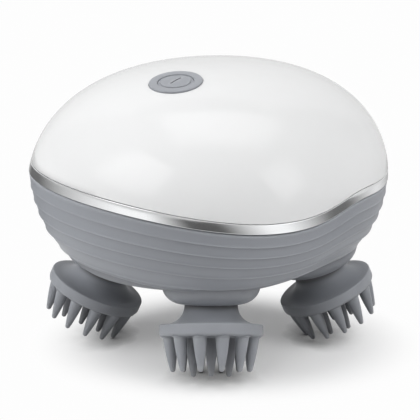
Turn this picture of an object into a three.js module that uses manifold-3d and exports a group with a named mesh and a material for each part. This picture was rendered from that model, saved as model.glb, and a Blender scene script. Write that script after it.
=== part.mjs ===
// Electric scalp massager: a cordless body with a white cover, a wavy silver trim and a ribbed
// grey housing, that turns four splayed silicone heads through one motor.
// Millimetres, +Z up. z = 0 is the surface that the finger tips stand on, and the origin lies
// under the middle of the body. -Y is the end with the power button, +X is on its right seen
// from above the button, and the heads lie on the diagonals. Azimuths run from -Y towards +X.

import * as THREE from 'three';
import { mergeVertices } from 'three/addons/utils/BufferGeometryUtils.js';
import Module from 'manifold-3d';

const wasm = await Module();
wasm.setup();
const deg = THREE.MathUtils.degToRad;
const STEP = 0.01; // a small way along a curve, to find its direction
const OVERRUN = 1; // of a cut, or of a joined piece's foot, past the face that it crosses

// Clearances
const SEAT_GAP = 0.3; // between two pieces where one sits in or on the other
const SEAM_GAP = 0.25; // above and below the trim
const NECK_GAP = 0.4; // between a head's turning neck and the socket over it

// Body
const BODY_HALF_LENGTH = 58.1;
const BODY_HALF_WIDTH = 50.9;
const BODY_TOP = 87.1;
const WAIST_HEIGHT = 52.3; // where the body is widest
const DOME_SQUARENESS = 2.5; // 2 would be an ellipse seen from the side
const SHELL_WALL = 2.2;

// Trim, which follows a wave round the body
const TRIM_TOP = 54.9; // mean height of its upper edge
const TRIM_HEIGHT = 3.3;
const TRIM_WALL = 2;
const TRIM_EDGE = 0.35; // bevel along both of its edges
const TRIM_CREST = deg(-17); // azimuth of the wave's highest point
const TRIM_WAVES = [2.4, 2.6, 1.3, -0.8]; // waves with one, two, three and four crests

// Ribbed housing
const RIB_HEIGHTS = [3.8, 3.5, 3.3, 3.7, 4.5, 1.4]; // from the trim down
const RIB_BULGE = 0.35;
const RIB_SHOULDER = 0.22; // share of a rib's height that each rounded edge takes
const HOUSING_SETBACK = 0.5; // of the ribs' grooves behind the trim
const BOWL_DEPTH = 25.4; // where the bowl's curve would close below the trim
const BOWL_SQUARENESS = 5.5;
const BOWL_FALL = 1.7; // how late the bowl turns inwards: 2 is an ellipse's
const WAVE_FADE_DEPTH = 25; // the ribs follow the trim's wave less and less, down to this depth
const WAVE_FADE = 1.5;
const CORNER_DIP = 0.8; // of the lowest rib over each head
const FLOOR_BOTTOM = 29.4;
const FLOOR_INSET = 3; // from the lowest rib's edge to the flat of the floor
const LIP_RISE = 3; // above the trim, inside the cover
const LIP_WALL = 1.4;
const LIP_PLAY = 0.6; // between the cover and the lip

// Heads
const HEAD_OUT = 35.5; // from the body's axis to the middle of a plate's upper edge
const HEAD_HEIGHT = 16.9; // of that point
const HEAD_TILT = deg(23.7);
const HEAD_AZIMUTHS = { front_right: 45, rear_right: 135, rear_left: 225, front_left: 315 };
const PLATE_RADIUS = 15;
const PLATE_RIM = 3.5;
const PLATE_EDGE = 1.1; // rounding of the rim's lower edge
const PLATE_SKIN = 1.2; // below the hub
const NECK_RADIUS = 7.7;
const NECK_HEIGHT = 8; // its top lies inside the socket
const FLARE_HEIGHT = 5; // over which the neck widens to the plate's edge
const FLARE_SQUARENESS = 2.1; // 2 would be a quarter of an ellipse, 1 a straight cone
const FINGER_ROOT = 2;
const FINGER_TIP = 0.8;
const FINGER_POINT = 0.5; // height of the blunt cone at a finger's tip
const OUTER_LENGTH = 10.017; // of the fingers in the outer ring
const INNER_LENGTH = 11.4;
const OUTER_FINGERS = 12.2; // radius of their ring
const INNER_FINGERS = 6.3;
const FINGER_RINGS = [
  { count: 12, radius: OUTER_FINGERS, length: OUTER_LENGTH, turn: deg(15) },
  { count: 6, radius: INNER_FINGERS, length: INNER_LENGTH, turn: 0 },
  { count: 1, radius: 0, length: INNER_LENGTH, turn: 0 },
];
const FINGER_LEAN = 0.07; // of a finger's tip towards the middle, for each mm of its ring's radius
const HEAD_TURNS = { front_right: 0, rear_right: deg(-12), rear_left: 0, front_left: deg(-5) }; // at rest

// Head sockets and the shafts in them
const SOCKET_RADIUS = 14.2;
const SOCKET_MOUTH_HEIGHT = 6; // above the plate's upper edge, along the shaft
const SOCKET_DEPTH = 5.5; // height of the socket's rounded bottom
const SOCKET_TILT = deg(17); // less than its head's
const SOCKET_WALL = 2.2;
const SHAFT_RADIUS = 2.2;
const SHAFT_END = 37; // above the plate's upper edge, along the shaft
const BUSH_WALL = 1.6;
const BUSH_LENGTH = 10;
const BUSH_FLANGE = 1.3;
const BUSH_FLANGE_HEIGHT = 1;
const TUBE_WALL = 1.7; // of the socket's bearing tube round the bush
const HUB_FLANGE = 10.4;
const HUB_FLANGE_HEIGHT = 1.9;
const HUB_NECK = 5.4;
const HUB_FLOOR = 0.5; // of the flange below the shaft's end

// Bevel gears that turn the heads
const DRIVE_TEETH = 24;
const HEAD_TEETH = 16;
const BEVEL_INNER = 57; // distance from the point where all the axes meet
const BEVEL_FACE = 6;
const TOOTH_ADDENDUM = 0.75; // tooth sizes in modules
const TOOTH_DEDENDUM = 1;
const TOOTH_SLANT = deg(24);
const BACKLASH = 0.38;
const DRIVE_SHAFT_RADIUS = 2;
const STEP_BEARING_HEIGHT = 3; // of the floor's ring round the drive shaft's end

// Spur gears between the motor and the drive shaft
const SPUR_MODULE = 1.25;
const WHEEL_TEETH = 32;
const PINION_TEETH = 8;
const SPUR_FACE = 3.5;
const SPUR_BOTTOM = 55.6;
const MOTOR_RADIUS = 12;
const MOTOR_LENGTH = 14.8;
const MOTOR_EDGE = 1;
const MOTOR_NOSE = 2.9;
const MOTOR_NOSE_HEIGHT = 1.8;
const MOTOR_SHAFT_RADIUS = 1;
const MOTOR_BORE_DEPTH = 5;

// Chassis that carries the gears, the motor and the battery
const CHASSIS_BOTTOM = 52;
const CHASSIS_WALL = 2.5;
const CHASSIS_INSET = 6; // from the body's outline
const LEG_RADIUS = 3.4;
const LEG_INSET_X = 19.9; // from the body's sides
const LEG_INSET_Y = 23.1; // from its ends
const DECK_BOTTOM = 60.6;
const DECK_WALL = 1.9;
const DECK_SIDE = 2.4;
const DECK_SETBACK = 1; // of its sides behind its front edge
const DECK_PLAY = 0.8; // between the spur wheel's teeth and the deck's sides
const SHAFT_CUP_WALL = 2;
const SADDLE_WALL = 3;
const SADDLE_OUT = 16;
const SADDLE_SHOULDER = 1.4;
const SADDLE_DROP = 0.6; // of its top below the cell's middle

// Battery
const BATTERY_RADIUS = 7.1;
const BATTERY_LENGTH = 50;
const BATTERY_Y = -29;
const BATTERY_EDGE = 0.6;
const BATTERY_NUB = 2.8;
const BATTERY_NUB_LENGTH = 1;

// Screws through the floor into the chassis legs
const SCREW_HEAD_RADIUS = 2.6;
const SCREW_HEAD_HEIGHT = 1.6;
const SCREW_RADIUS = 1.2;
const SCREW_LENGTH = 9;
const SCREW_SINK = 0.3;
const PAD_RADIUS = 4.6;
const PAD_HEIGHT = 3;

// Charging contacts, on both sides of the middle of the floor
const CONTACT_RADIUS = 1.5;
const CONTACT_OUT = 9;
const CONTACT_LENGTH = 5;

// Power button
const BUTTON_AZIMUTH = deg(19.7);
const BUTTON_OUT = 23.5;
const BEZEL_RADIUS = 7.7;
const BEZEL_BORE = 5.25;
const BEZEL_PROUD = 0.15;
const BEZEL_EDGE = 0.3;
const BEZEL_FLANGE = 1.7;
const BEZEL_FLANGE_GAP = 0.9; // under the cover, whose inside curves away from it
const BEZEL_FLANGE_HEIGHT = 1;
const BEZEL_CUP_DEPTH = 1.6;
const BEZEL_CUP_WALL = 1;
const BUTTON_RADIUS = 4.35;
const BUTTON_CAP = 1;
const BUTTON_CROWN = 0.15;
const STEM_RADIUS = 1.6;
const BOARD_DEPTH = 8.4; // from the cover's skin to the board's upper face
const BOARD_WIDTH = 26;
const BOARD_LENGTH = 22;
const BOARD_WALL = 1.2;
const BOARD_POST_RADIUS = 1.6;
const BOARD_POST_INSET = 2.6;
const SWITCH_WIDTH = 6;
const SWITCH_HEIGHT = 3.2;
const PLUNGER_RADIUS = 1.4;
const PLUNGER_RISE = 1.1; // above the switch
const PLUNGER_DEPTH = 1.2; // inside the switch
const PLUNGER_TRAVEL = 0.5;

// Facets
const AROUND_BODY = 32;
const AROUND_HEAD = 16;
const AROUND_FINGER = 6;
const AROUND_SOCKET = 12;
const AROUND_SMALL = 8;

// Solids: a closed geometry becomes a solid, is cut or joined, and becomes a geometry again
function solidOf(geometry) {
  const bare = geometry.clone();
  bare.deleteAttribute('normal');
  bare.deleteAttribute('uv');
  const merged = mergeVertices(bare, 1e-4);
  const mesh = new wasm.Mesh({
    numProp: 3,
    vertProperties: new Float32Array(merged.attributes.position.array),
    triVerts: new Uint32Array(merged.index.array),
  });
  return new wasm.Manifold(mesh);
}

function geometryOf(solid) {
  const mesh = solid.getMesh();
  const geometry = new THREE.BufferGeometry();
  geometry.setAttribute('position', new THREE.BufferAttribute(mesh.vertProperties, 3));
  geometry.setIndex(new THREE.BufferAttribute(mesh.triVerts, 1));
  return geometry;
}

const joined = (base, tools) => tools.reduce((solid, tool) => solid.add(solidOf(tool)), base);
const without = (base, tools) => tools.reduce((solid, tool) => solid.subtract(solidOf(tool)), base);

// A turned piece about Z from [radius, height] points that run up its outside
function turned(profile, facets = AROUND_SMALL) {
  const points = profile.map(([radius, height]) => new THREE.Vector2(radius, height));
  return new THREE.LatheGeometry(points, facets).rotateX(Math.PI / 2);
}

function rod(radius, bottom, top, facets = AROUND_SMALL) {
  return turned([[0, bottom], [radius, bottom], [radius, top], [0, top]], facets);
}

function ring(inner, outer, bottom, top, facets = AROUND_SMALL) {
  return turned([[inner, bottom], [outer, bottom], [outer, top], [inner, top], [inner, bottom]], facets);
}

function block(x0, x1, y0, y1, z0, z1) {
  const box = new THREE.BoxGeometry(x1 - x0, y1 - y0, z1 - z0);
  return box.translate((x0 + x1) / 2, (y0 + y1) / 2, (z0 + z1) / 2);
}

// A solid through one section for each azimuth. A section's [radius, height] points run up the
// outside, and start and end on the axis unless the section is a loop.
function loft(sectionAt, isLoop = false, facets = AROUND_BODY) {
  const sections = [];
  for (let i = 0; i < facets; i += 1) sections.push(sectionAt((i / facets) * 2 * Math.PI));
  const count = sections[0].length;
  const positions = [];
  sections.forEach((section, i) => {
    const azimuth = (i / facets) * 2 * Math.PI;
    section.forEach(([r, z]) => positions.push(r * Math.sin(azimuth), -r * Math.cos(azimuth), z));
  });
  const index = [];
  const at = (i, j) => (i % facets) * count + (j % count);
  for (let i = 0; i < facets; i += 1) {
    for (let j = 0; j < (isLoop ? count : count - 1); j += 1) {
      const corners = [at(i, j), at(i + 1, j), at(i + 1, j + 1), at(i, j + 1)];
      if (isLoop || j < count - 2) index.push(corners[0], corners[2], corners[3]);
      if (isLoop || j > 0) index.push(corners[0], corners[1], corners[2]);
    }
  }
  const geometry = new THREE.BufferGeometry();
  geometry.setAttribute('position', new THREE.Float32BufferAttribute(positions, 3));
  geometry.setIndex(index);
  return geometry;
}

// The same section points moved to the inside of the skin, square to it
function inset(points, distance) {
  return points.map(([r, z], i) => {
    const before = points[Math.max(i - 1, 0)];
    const after = points[Math.min(i + 1, points.length - 1)];
    const along = new THREE.Vector2(after[0] - before[0], after[1] - before[1]).normalize();
    return [Math.max(r - along.y * distance, 0), z + along.x * distance];
  });
}

// Body surfaces
const DOME_HEIGHT = BODY_TOP - WAIST_HEIGHT;

function outline(azimuth) {
  return 1 / Math.hypot(Math.cos(azimuth) / BODY_HALF_LENGTH, Math.sin(azimuth) / BODY_HALF_WIDTH);
}

function wave(azimuth) {
  return TRIM_WAVES.reduce((sum, rise, i) => sum + rise * Math.cos((i + 1) * (azimuth - TRIM_CREST)), 0);
}

function domeRadius(azimuth, height) {
  const share = Math.max(height - WAIST_HEIGHT, 0) / DOME_HEIGHT;
  return outline(azimuth) * Math.max(1 - share ** 2, 0) ** (1 / DOME_SQUARENESS);
}

function domeHeight(azimuth, radius) {
  const share = Math.min(radius / outline(azimuth), 1);
  return WAIST_HEIGHT + DOME_HEIGHT * Math.sqrt(1 - share ** DOME_SQUARENESS);
}

const trimTop = (azimuth) => TRIM_TOP + wave(azimuth);
const ledgeHeight = (azimuth) => trimTop(azimuth) - TRIM_HEIGHT - SEAM_GAP;
const lipTop = (azimuth) => trimTop(azimuth) + LIP_RISE;

const ribDepths = [0];
RIB_HEIGHTS.forEach((height) => ribDepths.push(ribDepths.at(-1) + height));

// A point of the ribbed bowl, at a depth below the trim and moved out of the skin
function bowlPoint(azimuth, depth, out = 0) {
  const place = (d) => {
    const share = Math.max(1 - (d / BOWL_DEPTH) ** BOWL_FALL, 0) ** (1 / BOWL_SQUARENESS);
    const lost = wave(azimuth) * (d / WAVE_FADE_DEPTH) ** WAVE_FADE;
    const dip = -CORNER_DIP * Math.cos(4 * azimuth) * (d / ribDepths.at(-1)) ** 3;
    const top = ledgeHeight(azimuth);
    return [domeRadius(azimuth, top) * share - HOUSING_SETBACK, top - lost - dip - d];
  };
  const [r, z] = place(depth);
  const [lowR, lowZ] = place(depth + STEP);
  const along = new THREE.Vector2(r - lowR, z - lowZ).normalize();
  return [r + along.y * out, z - along.x * out];
}

// Frames that lean on the heads' azimuths: X points away from the body's axis and Z up to the body
function leaningFrame(azimuth, tilt, radius, height) {
  const out = new THREE.Vector3(Math.sin(azimuth), -Math.cos(azimuth), 0);
  const up = new THREE.Vector3(0, 0, 1);
  const axis = up.clone().multiplyScalar(Math.cos(tilt)).addScaledVector(out, -Math.sin(tilt));
  const across = out.clone().multiplyScalar(Math.cos(tilt)).addScaledVector(up, Math.sin(tilt));
  const frame = new THREE.Matrix4().makeBasis(across, axis.clone().cross(across), axis);
  return frame.setPosition(out.multiplyScalar(radius).setZ(height));
}

const headNames = Object.keys(HEAD_AZIMUTHS);
const headAngles = headNames.map((name) => deg(HEAD_AZIMUTHS[name]));
const headFrames = headAngles.map((azimuth) => leaningFrame(azimuth, HEAD_TILT, HEAD_OUT, HEAD_HEIGHT));
const MOUTH_OUT = HEAD_OUT - SOCKET_MOUTH_HEIGHT * Math.sin(HEAD_TILT);
const MOUTH_HEIGHT = HEAD_HEIGHT + SOCKET_MOUTH_HEIGHT * Math.cos(HEAD_TILT);
const socketFrames = headAngles.map((azimuth) => leaningFrame(azimuth, SOCKET_TILT, MOUTH_OUT, MOUTH_HEIGHT));
const inEach = (frames, geometry) => frames.map((frame) => geometry.clone().applyMatrix4(frame));

// The head's axes meet the body's axis at this distance from the heads, at this height
const APEX_DISTANCE = HEAD_OUT / Math.sin(HEAD_TILT);
const APEX_HEIGHT = HEAD_HEIGHT + HEAD_OUT / Math.tan(HEAD_TILT);

// Button frame: on the cover's skin, with Z square to it
function buttonFrame() {
  const onSkin = (azimuth, radius) => {
    const height = domeHeight(azimuth, radius);
    return new THREE.Vector3(radius * Math.sin(azimuth), -radius * Math.cos(azimuth), height);
  };
  const place = onSkin(BUTTON_AZIMUTH, BUTTON_OUT);
  const outwards = onSkin(BUTTON_AZIMUTH, BUTTON_OUT + STEP).sub(place);
  const around = onSkin(BUTTON_AZIMUTH + STEP, BUTTON_OUT).sub(place);
  const axis = outwards.cross(around).normalize();
  const across = new THREE.Vector3(0, 1, 0).cross(axis).normalize();
  return new THREE.Matrix4().makeBasis(across, axis.clone().cross(across), axis).setPosition(place);
}

const BUTTON_FRAME = buttonFrame();

// Four corners at plus and minus x and y, and the chassis legs' places
const corners = (x, y) => [[x, y], [-x, y], [-x, -y], [x, -y]];
const LEG_X = BODY_HALF_WIDTH - LEG_INSET_X;
const LEG_Y = BODY_HALF_LENGTH - LEG_INSET_Y;
const legPlaces = [[LEG_X, 0], [0, LEG_Y], [-LEG_X, 0], [0, -LEG_Y]];

// White cover
const DOME_ROWS = 8;

function coverSkin(azimuth) {
  const edge = trimTop(azimuth) + SEAM_GAP;
  const start = Math.asin((edge - WAIST_HEIGHT) / DOME_HEIGHT);
  const points = [[domeRadius(azimuth, edge), edge]];
  for (let i = 1; i <= DOME_ROWS; i += 1) {
    const angle = start + ((Math.PI / 2 - start) * i) / DOME_ROWS;
    const share = Math.max(Math.cos(angle), 0) ** (2 / DOME_SQUARENESS);
    const radius = i === DOME_ROWS ? 0 : outline(azimuth) * share;
    points.push([radius, WAIST_HEIGHT + DOME_HEIGHT * Math.sin(angle)]);
  }
  return points;
}

function topCover() {
  const skin = (azimuth) => [[0, TRIM_TOP], ...coverSkin(azimuth)];
  const hollow = (azimuth) => {
    const points = inset(coverSkin(azimuth), SHELL_WALL);
    points[points.length - 1] = [0, BODY_TOP - SHELL_WALL];
    points[0][1] = trimTop(azimuth);
    return [[0, TRIM_TOP - TRIM_HEIGHT], [points[0][0], points[0][1] - TRIM_HEIGHT], ...points];
  };
  const postX = BOARD_WIDTH / 2 - BOARD_POST_INSET;
  const postY = BOARD_LENGTH / 2 - BOARD_POST_INSET;
  const posts = corners(postX, postY).map(([x, y]) => {
    const post = rod(BOARD_POST_RADIUS, SEAT_GAP - BOARD_DEPTH, 0);
    return post.translate(x, y, 0).applyMatrix4(BUTTON_FRAME);
  });
  const buttonHole = rod(BEZEL_RADIUS + SEAT_GAP, -2 * SHELL_WALL, OVERRUN, AROUND_HEAD);
  const skinSolid = solidOf(loft(skin));
  const shell = skinSolid.subtract(solidOf(loft(hollow)));
  const clippedPosts = posts.map((post) => geometryOf(solidOf(post).intersect(skinSolid)));
  return geometryOf(without(joined(shell, clippedPosts), [buttonHole.applyMatrix4(BUTTON_FRAME)]));
}

// Silver trim
function trimRing() {
  return loft((azimuth) => {
    const top = trimTop(azimuth);
    const bottom = top - TRIM_HEIGHT;
    const outer = domeRadius(azimuth, (top + bottom) / 2);
    return [
      [outer - TRIM_WALL, bottom],
      [domeRadius(azimuth, bottom) - TRIM_EDGE, bottom],
      [domeRadius(azimuth, bottom + TRIM_EDGE), bottom + TRIM_EDGE],
      [domeRadius(azimuth, top - TRIM_EDGE), top - TRIM_EDGE],
      [domeRadius(azimuth, top) - TRIM_EDGE, top],
      [outer - TRIM_WALL, top],
    ];
  }, true);
}

// Ribbed housing with the head sockets
const FLOOR_TOP = FLOOR_BOTTOM + SHELL_WALL;
const RECESS_TOP = NECK_HEIGHT + NECK_GAP; // of the round recess that the neck turns in
const SOCKET_MOUTH = NECK_RADIUS + SEAT_GAP;
const BUSH_RADIUS = SHAFT_RADIUS + SEAT_GAP + BUSH_WALL;
const BUSH_BORE = BUSH_RADIUS + SEAT_GAP;

function ribbedSkin(azimuth) {
  const points = [];
  for (let i = RIB_HEIGHTS.length - 1; i >= 0; i -= 1) {
    const at = (share) => ribDepths[i + 1] - share * RIB_HEIGHTS[i];
    points.push(bowlPoint(azimuth, at(0)), bowlPoint(azimuth, at(RIB_SHOULDER), RIB_BULGE));
    points.push(bowlPoint(azimuth, at(1 - RIB_SHOULDER), RIB_BULGE));
  }
  points.push(bowlPoint(azimuth, 0));
  return points;
}

// The socket's rounded bottom is a quarter of an ellipse from its mouth to its full radius
function socketBowl(top) {
  const profile = [[0, 0], [SOCKET_MOUTH, 0]];
  const arcs = 3;
  for (let i = 1; i <= arcs; i += 1) {
    const angle = (i / arcs) * (Math.PI / 2);
    const radius = SOCKET_MOUTH + (SOCKET_RADIUS - SOCKET_MOUTH) * Math.sin(angle);
    profile.push([radius, SOCKET_DEPTH * (1 - Math.cos(angle))]);
  }
  return turned([...profile, [SOCKET_RADIUS, top], [0, top]], AROUND_SOCKET);
}

function lowerHousing() {
  const inwards = SHELL_WALL + LIP_PLAY;
  const skin = (azimuth) => {
    const wall = ribbedSkin(azimuth);
    const ledge = wall.at(-1);
    const tip = lipTop(azimuth);
    const lipFoot = ledge[0] - inwards;
    const flat = [wall[0][0] - FLOOR_INSET, FLOOR_BOTTOM];
    const lip = [domeRadius(azimuth, tip) - inwards, tip];
    return [[0, FLOOR_BOTTOM], flat, ...wall, [lipFoot, ledge[1]], lip, [0, TRIM_TOP]];
  };
  const hollow = (azimuth) => {
    const depths = [ribDepths[5], ribDepths[4], ribDepths[2]];
    const inside = inset(depths.map((depth) => bowlPoint(azimuth, depth)), SHELL_WALL);
    const wall = inside.map(([r, z]) => [r, Math.max(z, FLOOR_TOP + SEAT_GAP)]);
    const ledge = bowlPoint(azimuth, 0);
    const tip = lipTop(azimuth);
    const throat = [ledge[0] - inwards - LIP_WALL, ledge[1] - SHELL_WALL];
    const mouth = [domeRadius(azimuth, tip) - inwards - LIP_WALL, tip + LIP_WALL];
    const floorEdge = [wall[0][0] - (wall[0][1] - FLOOR_TOP), FLOOR_TOP];
    return [[0, FLOOR_TOP], floorEdge, ...wall, throat, mouth, [0, BODY_TOP]];
  };
  const socketRise = FLOOR_TOP + SOCKET_RADIUS * Math.sin(SOCKET_TILT) - MOUTH_HEIGHT;
  const socketTop = socketRise / Math.cos(SOCKET_TILT);
  const bowls = inEach(socketFrames, socketBowl(socketTop));
  const hollowBottom = RECESS_TOP + SOCKET_WALL - SOCKET_MOUTH_HEIGHT;
  const socketHollow = rod(SOCKET_RADIUS - SOCKET_WALL, hollowBottom, 2 * socketTop, AROUND_SOCKET);
  const tube = rod(BUSH_BORE + TUBE_WALL, RECESS_TOP + OVERRUN, RECESS_TOP + BUSH_LENGTH);
  const recess = solidOf(rod(SOCKET_MOUTH, 0, RECESS_TOP, AROUND_HEAD));
  const bore = geometryOf(recess.add(solidOf(rod(BUSH_BORE, 0, RECESS_TOP + BUSH_LENGTH + OVERRUN))));
  const padTop = FLOOR_TOP + PAD_HEIGHT;
  const pads = legPlaces.map(([x, y]) => rod(PAD_RADIUS, FLOOR_TOP - OVERRUN, padTop).translate(x, y, 0));
  const seats = legPlaces.map(([x, y]) => {
    const sink = FLOOR_BOTTOM + SCREW_SINK + SCREW_HEAD_HEIGHT + SEAT_GAP;
    const sunk = solidOf(rod(SCREW_HEAD_RADIUS + SEAT_GAP, FLOOR_BOTTOM - OVERRUN, sink));
    const hole = rod(SCREW_RADIUS + SEAT_GAP, FLOOR_BOTTOM - OVERRUN, padTop + OVERRUN);
    return geometryOf(sunk.add(solidOf(hole))).translate(x, y, 0);
  });
  const contactHoles = [-CONTACT_OUT, CONTACT_OUT].map((x) =>
    rod(CONTACT_RADIUS + SEAT_GAP, FLOOR_BOTTOM - OVERRUN, FLOOR_TOP + OVERRUN).translate(x, 0, 0));
  const stepBearing = ring(
    DRIVE_SHAFT_RADIUS + SEAT_GAP, DRIVE_SHAFT_RADIUS + SHELL_WALL, FLOOR_TOP - OVERRUN, STEP_BEARING_TOP,
  );
  const outer = joined(solidOf(loft(skin)), bowls);
  const shell = without(outer, [loft(hollow), ...inEach(socketFrames, socketHollow)]);
  const fitted = joined(shell, [...inEach(headFrames, tube), ...pads, stepBearing]);
  return geometryOf(without(fitted, [...inEach(headFrames, bore), ...seats, ...contactHoles]));
}

// Silicone head: a flared neck, a plate with a rounded rim, and three rings of tapered fingers
const PLATE_BOTTOM = -PLATE_RIM;
const HUB_BOTTOM = PLATE_BOTTOM + PLATE_SKIN + SEAT_GAP;
const HUB_SHOULDER = HUB_BOTTOM + HUB_FLANGE_HEIGHT;

function massageHead() {
  const flares = 3;
  const outside = [[0, PLATE_BOTTOM], [PLATE_RADIUS - PLATE_EDGE, PLATE_BOTTOM]];
  const edgeMiddle = PLATE_EDGE * (1 - Math.SQRT1_2);
  outside.push([PLATE_RADIUS - edgeMiddle, PLATE_BOTTOM + edgeMiddle]);
  outside.push([PLATE_RADIUS, PLATE_BOTTOM + PLATE_EDGE]);
  for (let i = 0; i <= flares; i += 1) {
    const angle = (i / flares) * (Math.PI / 2);
    const inwards = (PLATE_RADIUS - NECK_RADIUS) * Math.sin(angle) ** (2 / FLARE_SQUARENESS);
    const rise = FLARE_HEIGHT * (1 - Math.cos(angle) ** (2 / FLARE_SQUARENESS));
    outside.push([PLATE_RADIUS - inwards, rise]);
  }
  outside.push([NECK_RADIUS, NECK_HEIGHT]);
  const pocket = [
    [HUB_NECK + SEAT_GAP, NECK_HEIGHT],
    [HUB_NECK + SEAT_GAP, HUB_SHOULDER + SEAT_GAP],
    [HUB_FLANGE + SEAT_GAP, HUB_SHOULDER + SEAT_GAP],
    [HUB_FLANGE + SEAT_GAP, HUB_BOTTOM - SEAT_GAP],
    [0, HUB_BOTTOM - SEAT_GAP],
  ];
  const fingers = FINGER_RINGS.flatMap(({ count, radius, length, turn }) => {
    const lean = Math.atan((radius * FINGER_LEAN) / length);
    return Array.from({ length: count }, (_, i) => {
      const finger = leaningFinger(length, lean);
      return finger.translate(radius, 0, PLATE_BOTTOM).rotateZ(turn + (i * 2 * Math.PI) / count);
    });
  });
  return geometryOf(joined(solidOf(turned([...outside, ...pocket], AROUND_HEAD)), fingers));
}

function leaningFinger(length, lean) {
  return turned([
    [0, -length],
    [FINGER_TIP, FINGER_POINT - length],
    [FINGER_ROOT, 0],
    [FINGER_ROOT, PLATE_SKIN / 2],
    [0, PLATE_SKIN / 2],
  ], AROUND_FINGER).rotateY(lean);
}

// Rigid hub inside the silicone, on the end of the shaft
const SHAFT_START = HUB_BOTTOM + HUB_FLOOR + SEAT_GAP;

function headHub() {
  return turned([
    [0, HUB_BOTTOM],
    [HUB_FLANGE, HUB_BOTTOM],
    [HUB_FLANGE, HUB_SHOULDER],
    [HUB_NECK, HUB_SHOULDER],
    [HUB_NECK, NECK_HEIGHT - SEAT_GAP],
    [SHAFT_RADIUS + SEAT_GAP, NECK_HEIGHT - SEAT_GAP],
    [SHAFT_RADIUS + SEAT_GAP, HUB_BOTTOM + HUB_FLOOR],
    [0, HUB_BOTTOM + HUB_FLOOR],
  ], AROUND_HEAD);
}

function headBush() {
  const inner = SHAFT_RADIUS + SEAT_GAP;
  const top = RECESS_TOP + BUSH_LENGTH + SEAT_GAP;
  return turned([
    [inner, RECESS_TOP],
    [BUSH_RADIUS, RECESS_TOP],
    [BUSH_RADIUS, top],
    [BUSH_BORE + BUSH_FLANGE, top],
    [BUSH_BORE + BUSH_FLANGE, top + BUSH_FLANGE_HEIGHT],
    [inner, top + BUSH_FLANGE_HEIGHT],
    [inner, RECESS_TOP],
  ]);
}

// Gears. corner(end, level, azimuth) gives a point of the lower or upper end, at the bore, the
// root or the tip. Each tooth spans half angles at its root and tip about its middle.
const TOOTH_CORNERS = 5;

function toothed(teeth, halfRoot, halfTip, firstTooth, corner) {
  const positions = [];
  const pitch = (2 * Math.PI) / teeth;
  for (const end of [0, 1]) {
    for (let i = 0; i < teeth; i += 1) {
      const middle = firstTooth + i * pitch;
      const points = [corner(end, 'bore', middle), corner(end, 'root', middle - halfRoot)];
      points.push(corner(end, 'tip', middle - halfTip), corner(end, 'tip', middle + halfTip));
      points.push(corner(end, 'root', middle + halfRoot));
      points.forEach((point) => positions.push(...point));
    }
  }
  const index = [];
  const at = (end, i, k) => (end * teeth + (i % teeth)) * TOOTH_CORNERS + k;
  for (let i = 0; i < teeth; i += 1) {
    const rim = [[i, 1], [i, 2], [i, 3], [i, 4], [i + 1, 1]];
    for (let k = 0; k < rim.length - 1; k += 1) {
      const [p, q] = [rim[k], rim[k + 1]];
      index.push(at(0, ...p), at(0, ...q), at(1, ...q), at(0, ...p), at(1, ...q), at(1, ...p));
      index.push(at(1, i, 0), at(1, ...p), at(1, ...q), at(0, i, 0), at(0, ...q), at(0, ...p));
    }
    index.push(at(1, i, 0), at(1, i + 1, 1), at(1, i + 1, 0), at(0, i, 0), at(0, i + 1, 0), at(0, i + 1, 1));
    index.push(at(0, i, 0), at(1, i, 0), at(1, i + 1, 0), at(0, i, 0), at(1, i + 1, 0), at(0, i + 1, 0));
  }
  const geometry = new THREE.BufferGeometry();
  geometry.setAttribute('position', new THREE.Float32BufferAttribute(positions, 3));
  geometry.setIndex(index);
  return geometry;
}

// Half angles of a tooth at a distance beyond the pitch radius
function halfAngle(module, pitchRadius, beyond) {
  const atPitch = (Math.PI * module) / 4 - BACKLASH / 2;
  return (atPitch - beyond * Math.tan(TOOTH_SLANT)) / (pitchRadius + beyond);
}

function spurGear(teeth, boreRadius, bottom, firstTooth) {
  const pitchRadius = (SPUR_MODULE * teeth) / 2;
  const [rise, fall] = [TOOTH_ADDENDUM * SPUR_MODULE, TOOTH_DEDENDUM * SPUR_MODULE];
  const radii = { bore: boreRadius, root: pitchRadius - fall, tip: pitchRadius + rise };
  const corner = (end, level, azimuth) => {
    const radius = radii[level];
    return [radius * Math.cos(azimuth), radius * Math.sin(azimuth), bottom + end * SPUR_FACE];
  };
  const halfRoot = halfAngle(SPUR_MODULE, pitchRadius, -fall);
  const halfTip = halfAngle(SPUR_MODULE, pitchRadius, rise);
  return toothed(teeth, halfRoot, halfTip, firstTooth, corner);
}

// The bevel gears' pitch cones touch along one line and share their apex with the axes
const BEVEL_MIDDLE = BEVEL_INNER + BEVEL_FACE / 2;
const DRIVE_CONE = Math.atan2(Math.sin(HEAD_TILT), HEAD_TEETH / DRIVE_TEETH + Math.cos(HEAD_TILT));
const HEAD_CONE = HEAD_TILT - DRIVE_CONE;

function bevelGear(teeth, cone, boreRadius, apexHeight, firstTooth) {
  const pitchRadius = BEVEL_MIDDLE * Math.sin(cone);
  const module = (2 * pitchRadius) / teeth;
  const [rise, fall] = [TOOTH_ADDENDUM * module, TOOTH_DEDENDUM * module];
  const slopes = { root: cone - fall / BEVEL_MIDDLE, tip: cone + rise / BEVEL_MIDDLE };
  const corner = (end, level, azimuth) => {
    const distance = BEVEL_INNER + (1 - end) * BEVEL_FACE;
    const slope = level === 'bore' ? slopes.root : slopes[level];
    const radius = level === 'bore' ? boreRadius : distance * Math.sin(slope);
    return [radius * Math.cos(azimuth), radius * Math.sin(azimuth), apexHeight - distance * Math.cos(slope)];
  };
  const halfRoot = halfAngle(module, pitchRadius, -fall);
  const halfTip = halfAngle(module, pitchRadius, rise);
  return toothed(teeth, halfRoot, halfTip, firstTooth, corner);
}

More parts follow.
